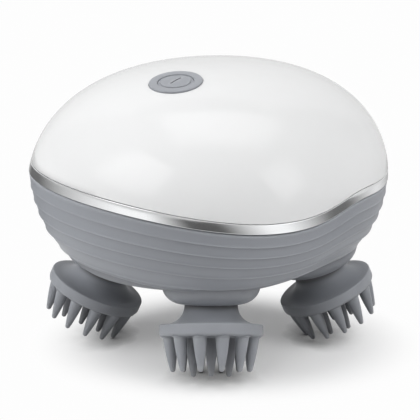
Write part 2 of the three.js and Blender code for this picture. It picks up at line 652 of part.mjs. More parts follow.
// A head's tooth gap faces the body's axis, where the drive gear has the middle of a tooth
const headGear = () =>
  bevelGear(HEAD_TEETH, HEAD_CONE, SHAFT_RADIUS + SEAT_GAP, APEX_DISTANCE, Math.PI + Math.PI / HEAD_TEETH);
const driveGear = () =>
  bevelGear(DRIVE_TEETH, DRIVE_CONE, DRIVE_SHAFT_RADIUS + SEAT_GAP, APEX_HEIGHT, deg(45));

// The wheel has the middle of a tooth towards the motor, and the pinion a gap towards the wheel
const SPUR_DISTANCE = (SPUR_MODULE * (WHEEL_TEETH + PINION_TEETH)) / 2;
const reductionWheel = () => spurGear(WHEEL_TEETH, DRIVE_SHAFT_RADIUS + SEAT_GAP, SPUR_BOTTOM, Math.PI / 2);
const motorPinion = () =>
  spurGear(PINION_TEETH, MOTOR_SHAFT_RADIUS + SEAT_GAP, SPUR_BOTTOM, Math.PI / 2 + Math.PI / PINION_TEETH);

// Motor, standing on the deck with its nose down
const DECK_TOP = DECK_BOTTOM + DECK_WALL;
const MOTOR_BOTTOM = DECK_TOP + SEAT_GAP;
const MOTOR_BORE = MOTOR_SHAFT_RADIUS + SEAT_GAP;

function motorCan() {
  const top = MOTOR_BOTTOM + MOTOR_LENGTH;
  return turned([
    [MOTOR_BORE, MOTOR_BOTTOM - MOTOR_NOSE_HEIGHT],
    [MOTOR_NOSE, MOTOR_BOTTOM - MOTOR_NOSE_HEIGHT],
    [MOTOR_NOSE, MOTOR_BOTTOM],
    [MOTOR_RADIUS, MOTOR_BOTTOM],
    [MOTOR_RADIUS, top - MOTOR_EDGE],
    [MOTOR_RADIUS - MOTOR_EDGE, top],
    [0, top],
    [0, MOTOR_BOTTOM + MOTOR_BORE_DEPTH],
    [MOTOR_BORE, MOTOR_BOTTOM + MOTOR_BORE_DEPTH],
    [MOTOR_BORE, MOTOR_BOTTOM - MOTOR_NOSE_HEIGHT],
  ], AROUND_HEAD);
}

// Chassis: a plate on four legs, with cups for the head shafts, a deck for the motor over the
// reduction wheel, and two saddles for the battery
const CHASSIS_TOP = CHASSIS_BOTTOM + CHASSIS_WALL;
const LEG_BOTTOM = FLOOR_TOP + PAD_HEIGHT + SEAT_GAP;
const BATTERY_HEIGHT = CHASSIS_TOP + SEAT_GAP + BATTERY_RADIUS;
const STEP_BEARING_TOP = FLOOR_TOP + STEP_BEARING_HEIGHT;
const DRIVE_SHAFT_BOTTOM = FLOOR_TOP + SEAT_GAP;
const DRIVE_SHAFT_TOP = DECK_BOTTOM - SEAT_GAP;

function chassis() {
  const plate = loft((azimuth) => {
    const radius = outline(azimuth) - CHASSIS_INSET;
    return [[0, CHASSIS_BOTTOM], [radius, CHASSIS_BOTTOM], [radius, CHASSIS_TOP], [0, CHASSIS_TOP]];
  });
  const legs = legPlaces.map(([x, y]) => rod(LEG_RADIUS, LEG_BOTTOM, CHASSIS_TOP).translate(x, y, 0));
  const pilots = legPlaces.map(([x, y]) =>
    rod(SCREW_RADIUS + SEAT_GAP, LEG_BOTTOM - OVERRUN, SCREW_TOP + SEAT_GAP).translate(x, y, 0));
  const cupRadius = SHAFT_RADIUS + SEAT_GAP + SHAFT_CUP_WALL;
  const cupTop = (CHASSIS_BOTTOM + CHASSIS_WALL / 2 - HEAD_HEIGHT) / Math.cos(HEAD_TILT);
  const cup = rod(cupRadius, SHAFT_END - SHAFT_CUP_WALL, cupTop);
  const cupBore = rod(SHAFT_RADIUS + SEAT_GAP, SHAFT_END - 2 * SHAFT_CUP_WALL, SHAFT_END + SEAT_GAP);
  const inner = (SPUR_MODULE * WHEEL_TEETH) / 2 + TOOTH_ADDENDUM * SPUR_MODULE - DECK_SIDE + DECK_PLAY;
  const [deckFront, deckRear] = [SPUR_DISTANCE - MOTOR_RADIUS, SPUR_DISTANCE + MOTOR_RADIUS];
  const outer = inner + DECK_SIDE;
  const sides = [-1, 1].map((side) => {
    const [x0, x1] = side < 0 ? [-outer, -inner] : [inner, outer];
    return block(x0, x1, deckFront + DECK_SETBACK, deckRear, CHASSIS_TOP - OVERRUN, DECK_TOP - DECK_WALL / 2);
  });
  const deck = block(-outer, outer, deckFront, deckRear, DECK_BOTTOM, DECK_TOP);
  const nose = rod(MOTOR_NOSE + SEAT_GAP, DECK_BOTTOM - OVERRUN, DECK_TOP + OVERRUN);
  nose.translate(0, SPUR_DISTANCE, 0);
  const width = BATTERY_RADIUS + SADDLE_SHOULDER;
  const saddles = [-SADDLE_OUT, SADDLE_OUT].map((x) => {
    const [x0, x1] = [x - SADDLE_WALL / 2, x + SADDLE_WALL / 2];
    const top = BATTERY_HEIGHT - SADDLE_DROP;
    return block(x0, x1, BATTERY_Y - width, BATTERY_Y + width, CHASSIS_TOP - OVERRUN, top);
  });
  const cell = rod(BATTERY_RADIUS + SEAT_GAP, -BATTERY_LENGTH / 2, BATTERY_LENGTH / 2, AROUND_HEAD);
  cell.rotateY(Math.PI / 2).translate(0, BATTERY_Y, BATTERY_HEIGHT);
  const shaftHole = rod(DRIVE_SHAFT_RADIUS + SEAT_GAP, CHASSIS_BOTTOM - OVERRUN, CHASSIS_TOP + OVERRUN);
  const solid = joined(solidOf(plate), [...legs, ...inEach(headFrames, cup), ...sides, deck, ...saddles]);
  return geometryOf(without(solid, [...pilots, ...inEach(headFrames, cupBore), nose, cell, shaftHole]));
}

function batteryCell() {
  const end = BATTERY_LENGTH / 2 - BATTERY_NUB_LENGTH;
  const cell = turned([
    [0, -BATTERY_LENGTH / 2],
    [BATTERY_RADIUS - BATTERY_EDGE, -BATTERY_LENGTH / 2],
    [BATTERY_RADIUS, BATTERY_EDGE - BATTERY_LENGTH / 2],
    [BATTERY_RADIUS, end - BATTERY_EDGE],
    [BATTERY_RADIUS - BATTERY_EDGE, end],
    [BATTERY_NUB, end],
    [BATTERY_NUB, BATTERY_LENGTH / 2],
    [0, BATTERY_LENGTH / 2],
  ], AROUND_HEAD);
  return cell.rotateY(Math.PI / 2).translate(0, BATTERY_Y, BATTERY_HEIGHT);
}

// Screws
const SCREW_SEAT = FLOOR_BOTTOM + SCREW_SINK + SCREW_HEAD_HEIGHT;
const SCREW_TOP = SCREW_SEAT + SCREW_LENGTH;

function baseScrew() {
  const bottom = FLOOR_BOTTOM + SCREW_SINK;
  return turned([
    [0, bottom],
    [SCREW_HEAD_RADIUS, bottom],
    [SCREW_HEAD_RADIUS, SCREW_SEAT],
    [SCREW_RADIUS, SCREW_SEAT],
    [SCREW_RADIUS, SCREW_TOP],
    [0, SCREW_TOP],
  ]);
}

const chargeContact = () => rod(CONTACT_RADIUS, FLOOR_BOTTOM, FLOOR_BOTTOM + CONTACT_LENGTH);

// Button parts, in the button frame
const STEM_BOTTOM = -BOARD_DEPTH + SWITCH_HEIGHT + PLUNGER_RISE + SEAT_GAP;

function buttonBezel() {
  const floor = -BEZEL_CUP_DEPTH - BEZEL_CUP_WALL;
  const flangeTop = -SHELL_WALL - BEZEL_FLANGE_GAP;
  const flangeBottom = flangeTop - BEZEL_FLANGE_HEIGHT;
  const stemBore = STEM_RADIUS + SEAT_GAP;
  return turned([
    [stemBore, floor],
    [BEZEL_BORE, floor],
    [BEZEL_BORE, flangeBottom],
    [BEZEL_RADIUS + BEZEL_FLANGE, flangeBottom],
    [BEZEL_RADIUS + BEZEL_FLANGE, flangeTop],
    [BEZEL_RADIUS, flangeTop],
    [BEZEL_RADIUS, BEZEL_PROUD - BEZEL_EDGE],
    [BEZEL_RADIUS - BEZEL_EDGE, BEZEL_PROUD],
    [BEZEL_BORE + BEZEL_EDGE, BEZEL_PROUD],
    [BEZEL_BORE, BEZEL_PROUD - BEZEL_EDGE],
    [BEZEL_BORE, -BEZEL_CUP_DEPTH],
    [stemBore, -BEZEL_CUP_DEPTH],
    [stemBore, floor],
  ], AROUND_HEAD);
}

function powerButton() {
  const bottom = BEZEL_PROUD - BUTTON_CAP;
  return turned([
    [0, STEM_BOTTOM],
    [STEM_RADIUS, STEM_BOTTOM],
    [STEM_RADIUS, bottom],
    [BUTTON_RADIUS, bottom],
    [BUTTON_RADIUS, BEZEL_PROUD - BEZEL_EDGE],
    [BUTTON_RADIUS - BEZEL_EDGE, BEZEL_PROUD],
    [0, BEZEL_PROUD + BUTTON_CROWN],
  ], AROUND_HEAD);
}

const SWITCH_TOP = SWITCH_HEIGHT - BOARD_DEPTH;
const SWITCH_BOTTOM = SEAT_GAP - BOARD_DEPTH;
const PLUNGER_BOTTOM = SWITCH_TOP - PLUNGER_DEPTH;

function tactSwitch() {
  const half = SWITCH_WIDTH / 2;
  const body = solidOf(block(-half, half, -half, half, SWITCH_BOTTOM, SWITCH_TOP));
  const wellBottom = PLUNGER_BOTTOM - PLUNGER_TRAVEL - SEAT_GAP;
  const well = rod(PLUNGER_RADIUS + SEAT_GAP, wellBottom, SWITCH_TOP + OVERRUN);
  return geometryOf(body.subtract(solidOf(well)));
}

const switchPlunger = () => rod(PLUNGER_RADIUS, PLUNGER_BOTTOM, STEM_BOTTOM - SEAT_GAP);

function circuitBoard() {
  const [x, y] = [BOARD_WIDTH / 2, BOARD_LENGTH / 2];
  return block(-x, x, -y, y, -BOARD_DEPTH - BOARD_WALL, -BOARD_DEPTH);
}

// Materials
const finish = (color, roughness, metalness = 0) =>
  new THREE.MeshStandardMaterial({ color, roughness, metalness });
const WHITE_GLOSS = finish(0xf1f2f4, 0.12);
const SILVER_TRIM = finish(0xc4c6c9, 0.3, 1);
const GREY_SHELL = finish(0x969b9f, 0.35);
const GREY_SILICONE = finish(0x85898c, 0.6);
const GREY_BUTTON = finish(0xa3a7ab, 0.4);
const NYLON = finish(0xe6e2d6, 0.5);
const BLACK_NYLON = finish(0x24262a, 0.55);
const STEEL = finish(0xb9bcc0, 0.25, 1);
const BRASS = finish(0xc9a44a, 0.3, 1);
const BLUE_SLEEVE = finish(0x2f5f9e, 0.45);
const BOARD_GREEN = finish(0x1f6b45, 0.5);

// Assembly
const massager = new THREE.Group();

function place(name, geometry, material, frame) {
  const mesh = new THREE.Mesh(geometry, material);
  mesh.name = name;
  if (frame) mesh.applyMatrix4(frame);
  massager.add(mesh);
  return mesh;
}

place('top_cover', topCover(), WHITE_GLOSS);
place('trim_ring', trimRing(), SILVER_TRIM);
place('lower_housing', lowerHousing(), GREY_SHELL);

place('button_bezel', buttonBezel(), GREY_BUTTON, BUTTON_FRAME);
place('power_button', powerButton(), GREY_BUTTON, BUTTON_FRAME);
place('switch_plunger', switchPlunger(), BLACK_NYLON, BUTTON_FRAME);
place('tact_switch', tactSwitch(), BLACK_NYLON, BUTTON_FRAME);
place('circuit_board', circuitBoard(), BOARD_GREEN, BUTTON_FRAME);

place('chassis', chassis(), BLACK_NYLON);
place('battery_cell', batteryCell(), BLUE_SLEEVE);
place('drive_shaft', rod(DRIVE_SHAFT_RADIUS, DRIVE_SHAFT_BOTTOM, DRIVE_SHAFT_TOP), STEEL);
place('drive_gear', driveGear(), NYLON);
place('reduction_wheel', reductionWheel(), NYLON);

const motorPlace = new THREE.Matrix4().makeTranslation(0, SPUR_DISTANCE, 0);
const motorShaftTop = MOTOR_BOTTOM + MOTOR_BORE_DEPTH - SEAT_GAP;
place('motor_can', motorCan(), STEEL, motorPlace);
place('motor_shaft', rod(MOTOR_SHAFT_RADIUS, SPUR_BOTTOM, motorShaftTop), STEEL, motorPlace);
place('motor_pinion', motorPinion(), BRASS, motorPlace);

headNames.forEach((name, i) => {
  place(`massage_head_${name}`, massageHead().rotateZ(HEAD_TURNS[name]), GREY_SILICONE, headFrames[i]);
  place(`head_hub_${name}`, headHub(), BLACK_NYLON, headFrames[i]);
  place(`head_shaft_${name}`, rod(SHAFT_RADIUS, SHAFT_START, SHAFT_END), STEEL, headFrames[i]);
  place(`head_gear_${name}`, headGear(), NYLON, headFrames[i]);
  place(`head_bush_${name}`, headBush(), BRASS, headFrames[i]);
});

['right', 'rear', 'left', 'front'].forEach((name, i) => {
  const [x, y] = legPlaces[i];
  place(`base_screw_${name}`, baseScrew(), STEEL, new THREE.Matrix4().makeTranslation(x, y, 0));
});

[['left', -CONTACT_OUT], ['right', CONTACT_OUT]].forEach(([name, x]) => {
  place(`charge_contact_${name}`, chargeContact(), BRASS, new THREE.Matrix4().makeTranslation(x, 0, 0));
});

export default massager;
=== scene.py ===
# %% [markdown]
# An electric scalp massager: a white cover over a ribbed grey housing, a wavy silver trim
# between them, one button near the top, and four silicone heads that turn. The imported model
# holds all of its 42 parts. This lesson dresses the parts that show and gives the rest finishes.

# %% Load the frame
import math

import bmesh
import bpy
import numpy as np
from mathutils import Matrix, Vector


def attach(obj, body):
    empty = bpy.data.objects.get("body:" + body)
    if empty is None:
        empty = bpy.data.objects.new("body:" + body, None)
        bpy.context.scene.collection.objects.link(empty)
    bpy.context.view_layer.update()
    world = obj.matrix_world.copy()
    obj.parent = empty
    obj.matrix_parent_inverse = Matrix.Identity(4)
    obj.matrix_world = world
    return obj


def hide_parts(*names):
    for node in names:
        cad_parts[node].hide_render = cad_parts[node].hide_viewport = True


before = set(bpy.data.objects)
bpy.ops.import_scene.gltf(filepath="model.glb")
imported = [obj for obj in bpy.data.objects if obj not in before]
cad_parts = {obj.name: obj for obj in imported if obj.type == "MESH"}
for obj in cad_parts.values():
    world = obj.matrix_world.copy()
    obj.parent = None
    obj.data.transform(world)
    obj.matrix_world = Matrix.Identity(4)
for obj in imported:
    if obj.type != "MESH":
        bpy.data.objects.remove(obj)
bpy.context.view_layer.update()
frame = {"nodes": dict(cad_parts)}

MM = 0.001
print("parts in the frame:", len(frame["nodes"]))

# %% [markdown]
# The camera looks down a little at the right front corner. A long lens from 0.4 m gives the
# photograph's weak perspective. It is aimed at the middle of the body and has no tilt.

# %% Camera
CAMERA_AZIMUTH = 45
CAMERA_ELEVATION = math.radians(16.37)
CAMERA_DISTANCE = 0.4011
CAMERA_LENS = 111.43
AIM_HEIGHT, AIM_LEFT = 0.04095, 0.00033  # where it aims, off the origin


def towards(azimuth, elevation=0.0):
    """The direction at an azimuth in degrees, from the button's end to the right, and a rise in radians."""
    turn = math.radians(azimuth)
    level = Vector((math.sin(turn), -math.cos(turn), 0))
    return level * math.cos(elevation) + Vector((0, 0, math.sin(elevation)))


def aimed(thing, place, target):
    """Puts a camera or lamp at a place and points it at a target."""
    thing.location = place
    thing.rotation_euler = (target - place).to_track_quat("-Z", "Y").to_euler()


aim = Vector((0, 0, AIM_HEIGHT)) - towards(CAMERA_AZIMUTH + 90) * AIM_LEFT
bpy.ops.object.camera_add()
camera = bpy.context.object
camera.data.lens = CAMERA_LENS
aimed(camera, aim + towards(CAMERA_AZIMUTH, CAMERA_ELEVATION) * CAMERA_DISTANCE, aim)
bpy.context.scene.camera = camera
bpy.context.scene.view_settings.view_transform = "Standard"
print("camera at", [round(x, 4) for x in camera.location])

# %% [markdown]
# The body has no straight lines, so its shape is written as curves over the azimuth. Seen from
# above the outline is an ellipse. Seen from the side the cover is a squarish ellipse, and the
# trim's height is a sum of four waves. The solids were made from these curves too. Here the wave
# is drawn a little closer, with the swell that the trim has on the right.

# %% Body curves, in millimetres
HALF_LENGTH, HALF_WIDTH = 58.1, 50.9
BODY_TOP, WAIST = 87.1, 52.3
DOME_HEIGHT = BODY_TOP - WAIST
DOME_SQUARENESS = 2.5
TRIM_TOP, TRIM_HEIGHT = 54.55, 2.8
TRIM_CREST = math.radians(-17)
TRIM_WAVES = (2.57, 2.83, 0.93, -0.67)
SWELL_RISE, SWELL_AT, SWELL_WIDTH = 1.97, math.radians(99.4), math.radians(14.8)
SEAM_GAP, LEDGE_GAP = 0.16, 0.34  # above the trim and below it


def outline(azimuth):
    """The body's largest radius."""
    return 1 / math.hypot(math.cos(azimuth) / HALF_LENGTH, math.sin(azimuth) / HALF_WIDTH)


def wave(azimuth):
    """How far the trim stands above its middle height."""
    swell = SWELL_RISE * math.exp(-(math.remainder(azimuth - SWELL_AT, math.tau) / SWELL_WIDTH) ** 2)
    turn = azimuth - TRIM_CREST
    return swell + sum(rise * math.cos((i + 1) * turn) for i, rise in enumerate(TRIM_WAVES))


def trim_top(azimuth):
    return TRIM_TOP + wave(azimuth)


def ledge_height(azimuth):
    return trim_top(azimuth) - TRIM_HEIGHT - LEDGE_GAP


def dome_radius(azimuth, height):
    share = max(height - WAIST, 0) / DOME_HEIGHT
    return outline(azimuth) * max(1 - share**2, 0) ** (1 / DOME_SQUARENESS)


def dome_height(azimuth, radius):
    share = min(radius / outline(azimuth), 1)
    return WAIST + DOME_HEIGHT * math.sqrt(1 - share**DOME_SQUARENESS)


def inset(points, distance):
    """Section points moved square to the skin, to the inside."""
    moved = []
    for i, (r, z) in enumerate(points):
        before, after = points[max(i - 1, 0)], points[min(i + 1, len(points) - 1)]
        along = (Vector(after) - Vector(before)).normalized()
        moved.append((max(r - along.y * distance, 0), z + along.x * distance))
    return moved


tops = [trim_top(math.radians(degrees)) for degrees in range(360)]
print("trim's top edge, lowest and highest:", round(min(tops), 2), round(max(tops), 2))

# %% [markdown]
# Each moulded part is a skin round an axis. The helper adds a flat grid and wraps it: one side
# of the grid goes round the azimuths and the other follows a section of radius and height. Its
# seam and its poles are then merged and the faces turned outwards. A second helper rounds the
# corners of a section, because no moulded edge is sharp.

# %% Wrapping and rounding helpers
EDGE_ANGLE = math.radians(35)  # a sharper edge is shaded as an edge
MERGED_WITHIN = 1e-7


def only(piece):
    """Selects one object and makes it active."""
    bpy.ops.object.select_all(action="DESELECT")
    piece.select_set(True)
    bpy.context.view_layer.objects.active = piece


def wrapped(name, section, around):
    """A skin through section(azimuth), which gives as many (radius, height) points at each azimuth."""
    azimuths = np.linspace(0, math.tau, around + 1)
    profile = np.array([section(a) for a in azimuths])
    rows = profile.shape[1] - 1
    bpy.ops.object.select_all(action="DESELECT")
    bpy.ops.mesh.primitive_grid_add(x_subdivisions=around, y_subdivisions=rows, size=1)
    piece = bpy.context.object
    piece.name = piece.data.name = name
    flat = np.zeros(len(piece.data.vertices) * 3)
    piece.data.vertices.foreach_get("co", flat)
    flat = flat.reshape(-1, 3)
    column = np.rint((flat[:, 0] + 0.5) * around).astype(int)
    row = np.rint((flat[:, 1] + 0.5) * rows).astype(int)
    radius, height = profile[column, row].T
    turn = azimuths[column]
    placed = np.column_stack([radius * np.sin(turn), -radius * np.cos(turn), height]) * MM
    piece.data.vertices.foreach_set("co", placed.ravel())
    bpy.ops.object.mode_set(mode="EDIT")
    bpy.ops.mesh.select_all(action="SELECT")
    bpy.ops.mesh.remove_doubles(threshold=MERGED_WITHIN)
    bpy.ops.mesh.normals_make_consistent(inside=False)
    bpy.ops.object.mode_set(mode="OBJECT")
    return piece


def turned(name, section, around, place=None):
    """A round piece about Z, set down at a place."""
    piece = wrapped(name, lambda azimuth: section, around)
    if place:
        piece.data.transform(place)
    return piece


def rounded(corners, steps=4):
    """Section points from (radius, height, rounding) corners. The first and the last stay sharp."""
    points = [corners[0][:2]]
    for before, corner, after in zip(corners, corners[1:], corners[2:]):
        here, radius = Vector(corner[:2]), corner[2]
        if radius == 0:
            points.append(tuple(here))
            continue
        back = (Vector(before[:2]) - here).normalized()
        ahead = (Vector(after[:2]) - here).normalized()
        half = back.angle(ahead) / 2
        reach, depth = radius / math.tan(half), radius / math.sin(half)
        centre = here + (back + ahead).normalized() * depth
        start, end = here + back * reach - centre, here + ahead * reach - centre
        for i in range(steps + 1):
            arm = start * (1 - i / steps) + end * (i / steps)
            points.append(tuple(centre + arm.normalized() * radius))
    return points + [corners[-1][:2]]


def smooth(piece):
    only(piece)
    bpy.ops.object.shade_smooth_by_angle(angle=EDGE_ANGLE)


def combined(piece, tools, operation):
    """Joins pieces to a piece (UNION) or cuts them out of it (DIFFERENCE)."""
    for tool in tools:
        only(piece)
        modifier = piece.modifiers.new("boolean", "BOOLEAN")
        modifier.operation, modifier.solver, modifier.object = operation, "MANIFOLD", tool
        bpy.ops.object.modifier_apply(modifier=modifier.name)
        bpy.data.objects.remove(tool)
    return piece


def rods(radius, bottom, top, around, places):
    """Plain round tools for cutting and joining, one at each place."""
    section = [(0, bottom), (radius, bottom), (radius, top), (0, top)]
    return [turned("tool", section, around, place) for place in places]


def copied(piece, name, place):
    """A copy with its own mesh, moved to a place."""
    copy = piece.copy()
    copy.data = piece.data.copy()
    copy.name = copy.data.name = name
    bpy.context.scene.collection.objects.link(copy)
    copy.data.transform(place)
    return copy


print("rounding a square corner gives", len(rounded([(0, 0, 0), (1, 0, 0.2), (1, 1, 0)])), "points")

# %% [markdown]
# Handled plastic grows paler and smoother on its convex edges and keeps dust in its creases. The
# same marks also carry painted light: a painted highlight on convex edges, and painted shade in
# creases where little light falls. No texture knows where these are, so each piece gets two
# attributes, one for convex and one for concave bends, measured from how sharply its faces bend
# at each corner and evened out between neighbours. The materials read them later.

# %% Attributes for pale edges and dark creases
FULL_BEND = 700  # a bend per metre that makes an edge or a crease count in full
SHORTEST_EDGE = 0.0002  # shorter ones count as this long
EVENING_ROUNDS = 2


def mark_edges(piece):
    """Gives a piece its attributes for pale edges and dark creases."""
    mesh = bmesh.new()
    mesh.from_mesh(piece.data)
    bends = []
    for vertex in mesh.verts:
        edges = [e for e in vertex.link_edges if len(e.link_faces) == 2]
        total = sum(e.calc_face_angle_signed() / max(e.calc_length(), SHORTEST_EDGE) for e in edges)
        bends.append(total / max(len(edges), 1))
    ends = np.array([[v.index for v in edge.verts] for edge in mesh.edges])
    mesh.free()
    bends = np.array(bends)
    count = len(bends)
    joined = np.maximum(np.bincount(ends.ravel(), minlength=count), 1)
    first, second = ends.T
    for _ in range(EVENING_ROUNDS):
        total = np.bincount(first, bends[second], count) + np.bincount(second, bends[first], count)
        bends = (bends + total / joined) / 2
    # Convex bends give pale edges (rubbing and painted highlight), concave ones dark creases (dust and
    # painted shade).
    for name, sign in (("wear", 1), ("crease", -1)):
        attribute = piece.data.attributes.new(name, "FLOAT", "POINT")
        values = np.clip(sign * bends / FULL_BEND, 0, 1)
        attribute.data.foreach_set("value", values.astype(np.float32))


def finished(piece, body, node):
    """Ends a piece's making: faces shaded, edges marked, riding on its body in its node's place."""
    smooth(piece)
    mark_edges(piece)
    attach(piece, body)
    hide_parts(node)
    print(piece.name, "faces:", len(piece.data.polygons))


# %% [markdown]
# The button and each head have their own axis. A frame that leans on a head's azimuth has its Z
# up into the body and its X away from the body's axis. The button's frame stands square on the
# cover's skin.

# %% Frames of the heads and of the button
HEAD_OUT, HEAD_HEIGHT, HEAD_TILT = 35.5, 16.9, math.radians(23.7)
SOCKET_TILT, MOUTH_ALONG = math.radians(17), 6
HEADS = {"front_right": 45, "rear_right": 135, "rear_left": 225, "front_left": 315}


def frame_at(place, across, axis):
    """A frame at a place in millimetres, with its X across and its Z along the axis."""
    turn = Matrix((across, axis.cross(across), axis)).transposed().to_4x4()
    return Matrix.Translation(place * MM) @ turn


def leaning(azimuth, tilt, radius, height):
    """A frame out at a radius and a height, whose Z leans over the body's axis by the tilt."""
    out, up = towards(azimuth), Vector((0, 0, 1))
    axis = up * math.cos(tilt) - out * math.sin(tilt)
    across = out * math.cos(tilt) + up * math.sin(tilt)
    return frame_at(out * radius + up * height, across, axis)


mouth_out = HEAD_OUT - MOUTH_ALONG * math.sin(HEAD_TILT)
mouth_height = HEAD_HEIGHT + MOUTH_ALONG * math.cos(HEAD_TILT)
head_frames = {name: leaning(a, HEAD_TILT, HEAD_OUT, HEAD_HEIGHT) for name, a in HEADS.items()}
socket_frames = [leaning(a, SOCKET_TILT, mouth_out, mouth_height) for a in HEADS.values()]


def on_dome(azimuth, radius):
    return Vector((radius * math.sin(azimuth), -radius * math.cos(azimuth), dome_height(azimuth, radius)))


BUTTON_AZIMUTH, BUTTON_OUT = math.radians(19.7), 23.5
button_place = on_dome(BUTTON_AZIMUTH, BUTTON_OUT)
SMALL_STEP = 0.01  # millimetres or radians, to measure a slope
outwards = on_dome(BUTTON_AZIMUTH, BUTTON_OUT + SMALL_STEP) - button_place
button_axis = outwards.cross(on_dome(BUTTON_AZIMUTH + SMALL_STEP, BUTTON_OUT) - button_place).normalized()
button_across = Vector((0, 1, 0)).cross(button_axis).normalized()
button_frame = frame_at(button_place, button_across, button_axis)
print("button stands along", [round(x, 4) for x in button_axis])

# %% [markdown]
# The cover is one injection moulded shell. Its section runs from the top down the outside, round
# a small lower edge, and up the inside again, so that the wall is real. The rows lie closer
# together where the skin bends most, which keeps the long reflections smooth.

# %% Cover
AROUND_BODY, AROUND_LARGE = 256, 96
SHELL_WALL = 2.2
COVER_EDGE, COVER_EDGE_ROUND = 0.18, 0.8  # height of the lower edge, share of it that is rounded
DOME_ROWS, INSIDE_ROWS = 56, 20
BEZEL_RADIUS, BEZEL_SEAM = 7.7, 0.12
HOLE_FROM, HOLE_TO = -12, 2  # along the button's axis


def dome_skin(azimuth, lowest, rows):
    """Points up the outside of the dome from a height to the pole."""
    start = math.asin((lowest - WAIST) / DOME_HEIGHT)
    points = []
    for i in range(rows + 1):
        angle = start + (math.pi / 2 - start) * i / rows
        share = max(math.cos(angle), 0) ** (2 / DOME_SQUARENESS) if i < rows else 0
        points.append((outline(azimuth) * share, WAIST + DOME_HEIGHT * math.sin(angle)))
    return points


def cover_section(azimuth):
    edge = trim_top(azimuth) + SEAM_GAP
    outside = dome_skin(azimuth, edge + COVER_EDGE, DOME_ROWS)
    inside = inset(dome_skin(azimuth, edge, INSIDE_ROWS), SHELL_WALL)
    inside[0], inside[-1] = (inside[0][0], edge), (0, BODY_TOP - SHELL_WALL)
    foot = dome_radius(azimuth, edge)
    corner = (foot, edge, COVER_EDGE * COVER_EDGE_ROUND)
    turn = rounded([outside[1], (*outside[0], 0), corner, (*inside[0], 0)])
    return outside[:0:-1] + turn[1:-1] + inside


cover = wrapped("cover", cover_section, AROUND_BODY)
hole = rods(BEZEL_RADIUS + BEZEL_SEAM, HOLE_FROM, HOLE_TO, AROUND_LARGE, [button_frame])
combined(cover, hole, "DIFFERENCE")
finished(cover, "base", "top_cover")

# %% [markdown]
# The trim is a plated strip that snaps between cover and housing. It is a loop of section with
# four rounded corners, wrapped round the same outline, so that both seams stay even.

# %% Trim
TRIM_WALL, TRIM_EDGE = 2.0, 0.2


def trim_section(azimuth):
    top = trim_top(azimuth)
    bottom = top - TRIM_HEIGHT
    middle = (top + bottom) / 2
    low, face, high = (dome_radius(azimuth, height) for height in (bottom, middle, top))
    back = face - TRIM_WALL
    corners = [(radius, height, TRIM_EDGE) for radius, height in
               ((high, top), (back, top), (back, bottom), (low, bottom))]
    return rounded([(face, middle), *corners, (face, middle)])


trim = wrapped("trim", trim_section, AROUND_BODY)
finished(trim, "base", "trim_ring")

# %% [markdown]
# The housing is a bowl of six ribs that follow the trim's wave and calm down below. Each rib
# flares out towards its lower edge and then steps back, as roof shingles do, so its lower edge
# catches the light above a thin dark line. Below the ribs a rounded edge leads to the flat floor.
# The section closes up the inside, over the lip that centres the cover, and down to the floor.

# %% Ribbed wall
RIB_HEIGHTS = (3.8, 3.5, 3.3, 3.7, 4.5, 1.4)
RIB_DEPTHS = [sum(RIB_HEIGHTS[:i]) for i in range(len(RIB_HEIGHTS) + 1)]
RIB_FLARE = (  # share of a rib's height, how far it stands out there
    (1.0, 0.28), (0.99, 0.34), (0.97, 0.37), (0.94, 0.32), (0.9, 0.23), (0.84, 0.17), (0.7, 0.12),
    (0.4, 0.06), (0.14, 0.02), (0.015, 0),
)
RIB_STRENGTHS = (0.75, 1.0, 1.2, 1.45, 1.7, 1.6)  # the flare of each rib, from the top
TOP_BEAD = (  # the same at the top of the first rib, where a chamfer under the trim catches the light
    (0.3, 0.08), (0.2, 0.13), (0.13, 0.15), (0.09, 0.13), (0.06, 0.02), (0.03, -0.09), (0.0, -0.2),
)
HOUSING_SETBACK = 0.34
BOWL_DEPTH, BOWL_SQUARENESS, BOWL_FALL = 25.4, 5.5, 1.7
CALM_DEPTH, CALM_FALL = 25, 1.5  # the ribs lose the trim's wave on their way down
SINK, SINK_FALL = 0.8, 3  # and the lowest ones sink a little over the heads
FLOOR_BOTTOM, FLOOR_INSET, FLOOR_EDGE = 29.4, 3, 1.2
FLOOR_TOP = FLOOR_BOTTOM + SHELL_WALL
LIP_RISE, LIP_WALL, LIP_PLAY, LIP_EDGE, LIP_FOOT = 3, 1.4, 0.6, 0.3, 0.5
INSIDE_RIBS, INSIDE_ABOVE_FLOOR = (5, 4, 2), 0.3  # the inside follows the wall at these ribs
FINE, COARSE = 5, 3  # steps in a rounding


def bowl_point(azimuth, depth, out=0.0):
    """A point on the bowl at a depth under its ledge, moved out square to the skin."""
    def place(d):
        share = max(1 - (d / BOWL_DEPTH) ** BOWL_FALL, 0) ** (1 / BOWL_SQUARENESS)
        lost = wave(azimuth) * (d / CALM_DEPTH) ** CALM_FALL
        sunk = -SINK * math.cos(len(HEADS) * azimuth) * (d / RIB_DEPTHS[-1]) ** SINK_FALL
        top = ledge_height(azimuth)
        return Vector((dome_radius(azimuth, top) * share - HOUSING_SETBACK, top - lost - sunk - d))
    here = place(depth)
    along = (here - place(depth + SMALL_STEP)).normalized()
    return here.x + along.y * out, here.y - along.x * out


def ribbed_wall(azimuth):
    """Points from the lowest rib's lower edge up to the ledge under the trim."""
    points = []
    for i in reversed(range(len(RIB_HEIGHTS))):
        profile = [(share, out * RIB_STRENGTHS[i]) for share, out in RIB_FLARE]
        if i == 0:  # the bead stands in for the last two points
            profile = profile[:-2] + list(TOP_BEAD)
        for share, out in profile:
            points.append(bowl_point(azimuth, RIB_DEPTHS[i] + share * RIB_HEIGHTS[i], out))
    return points


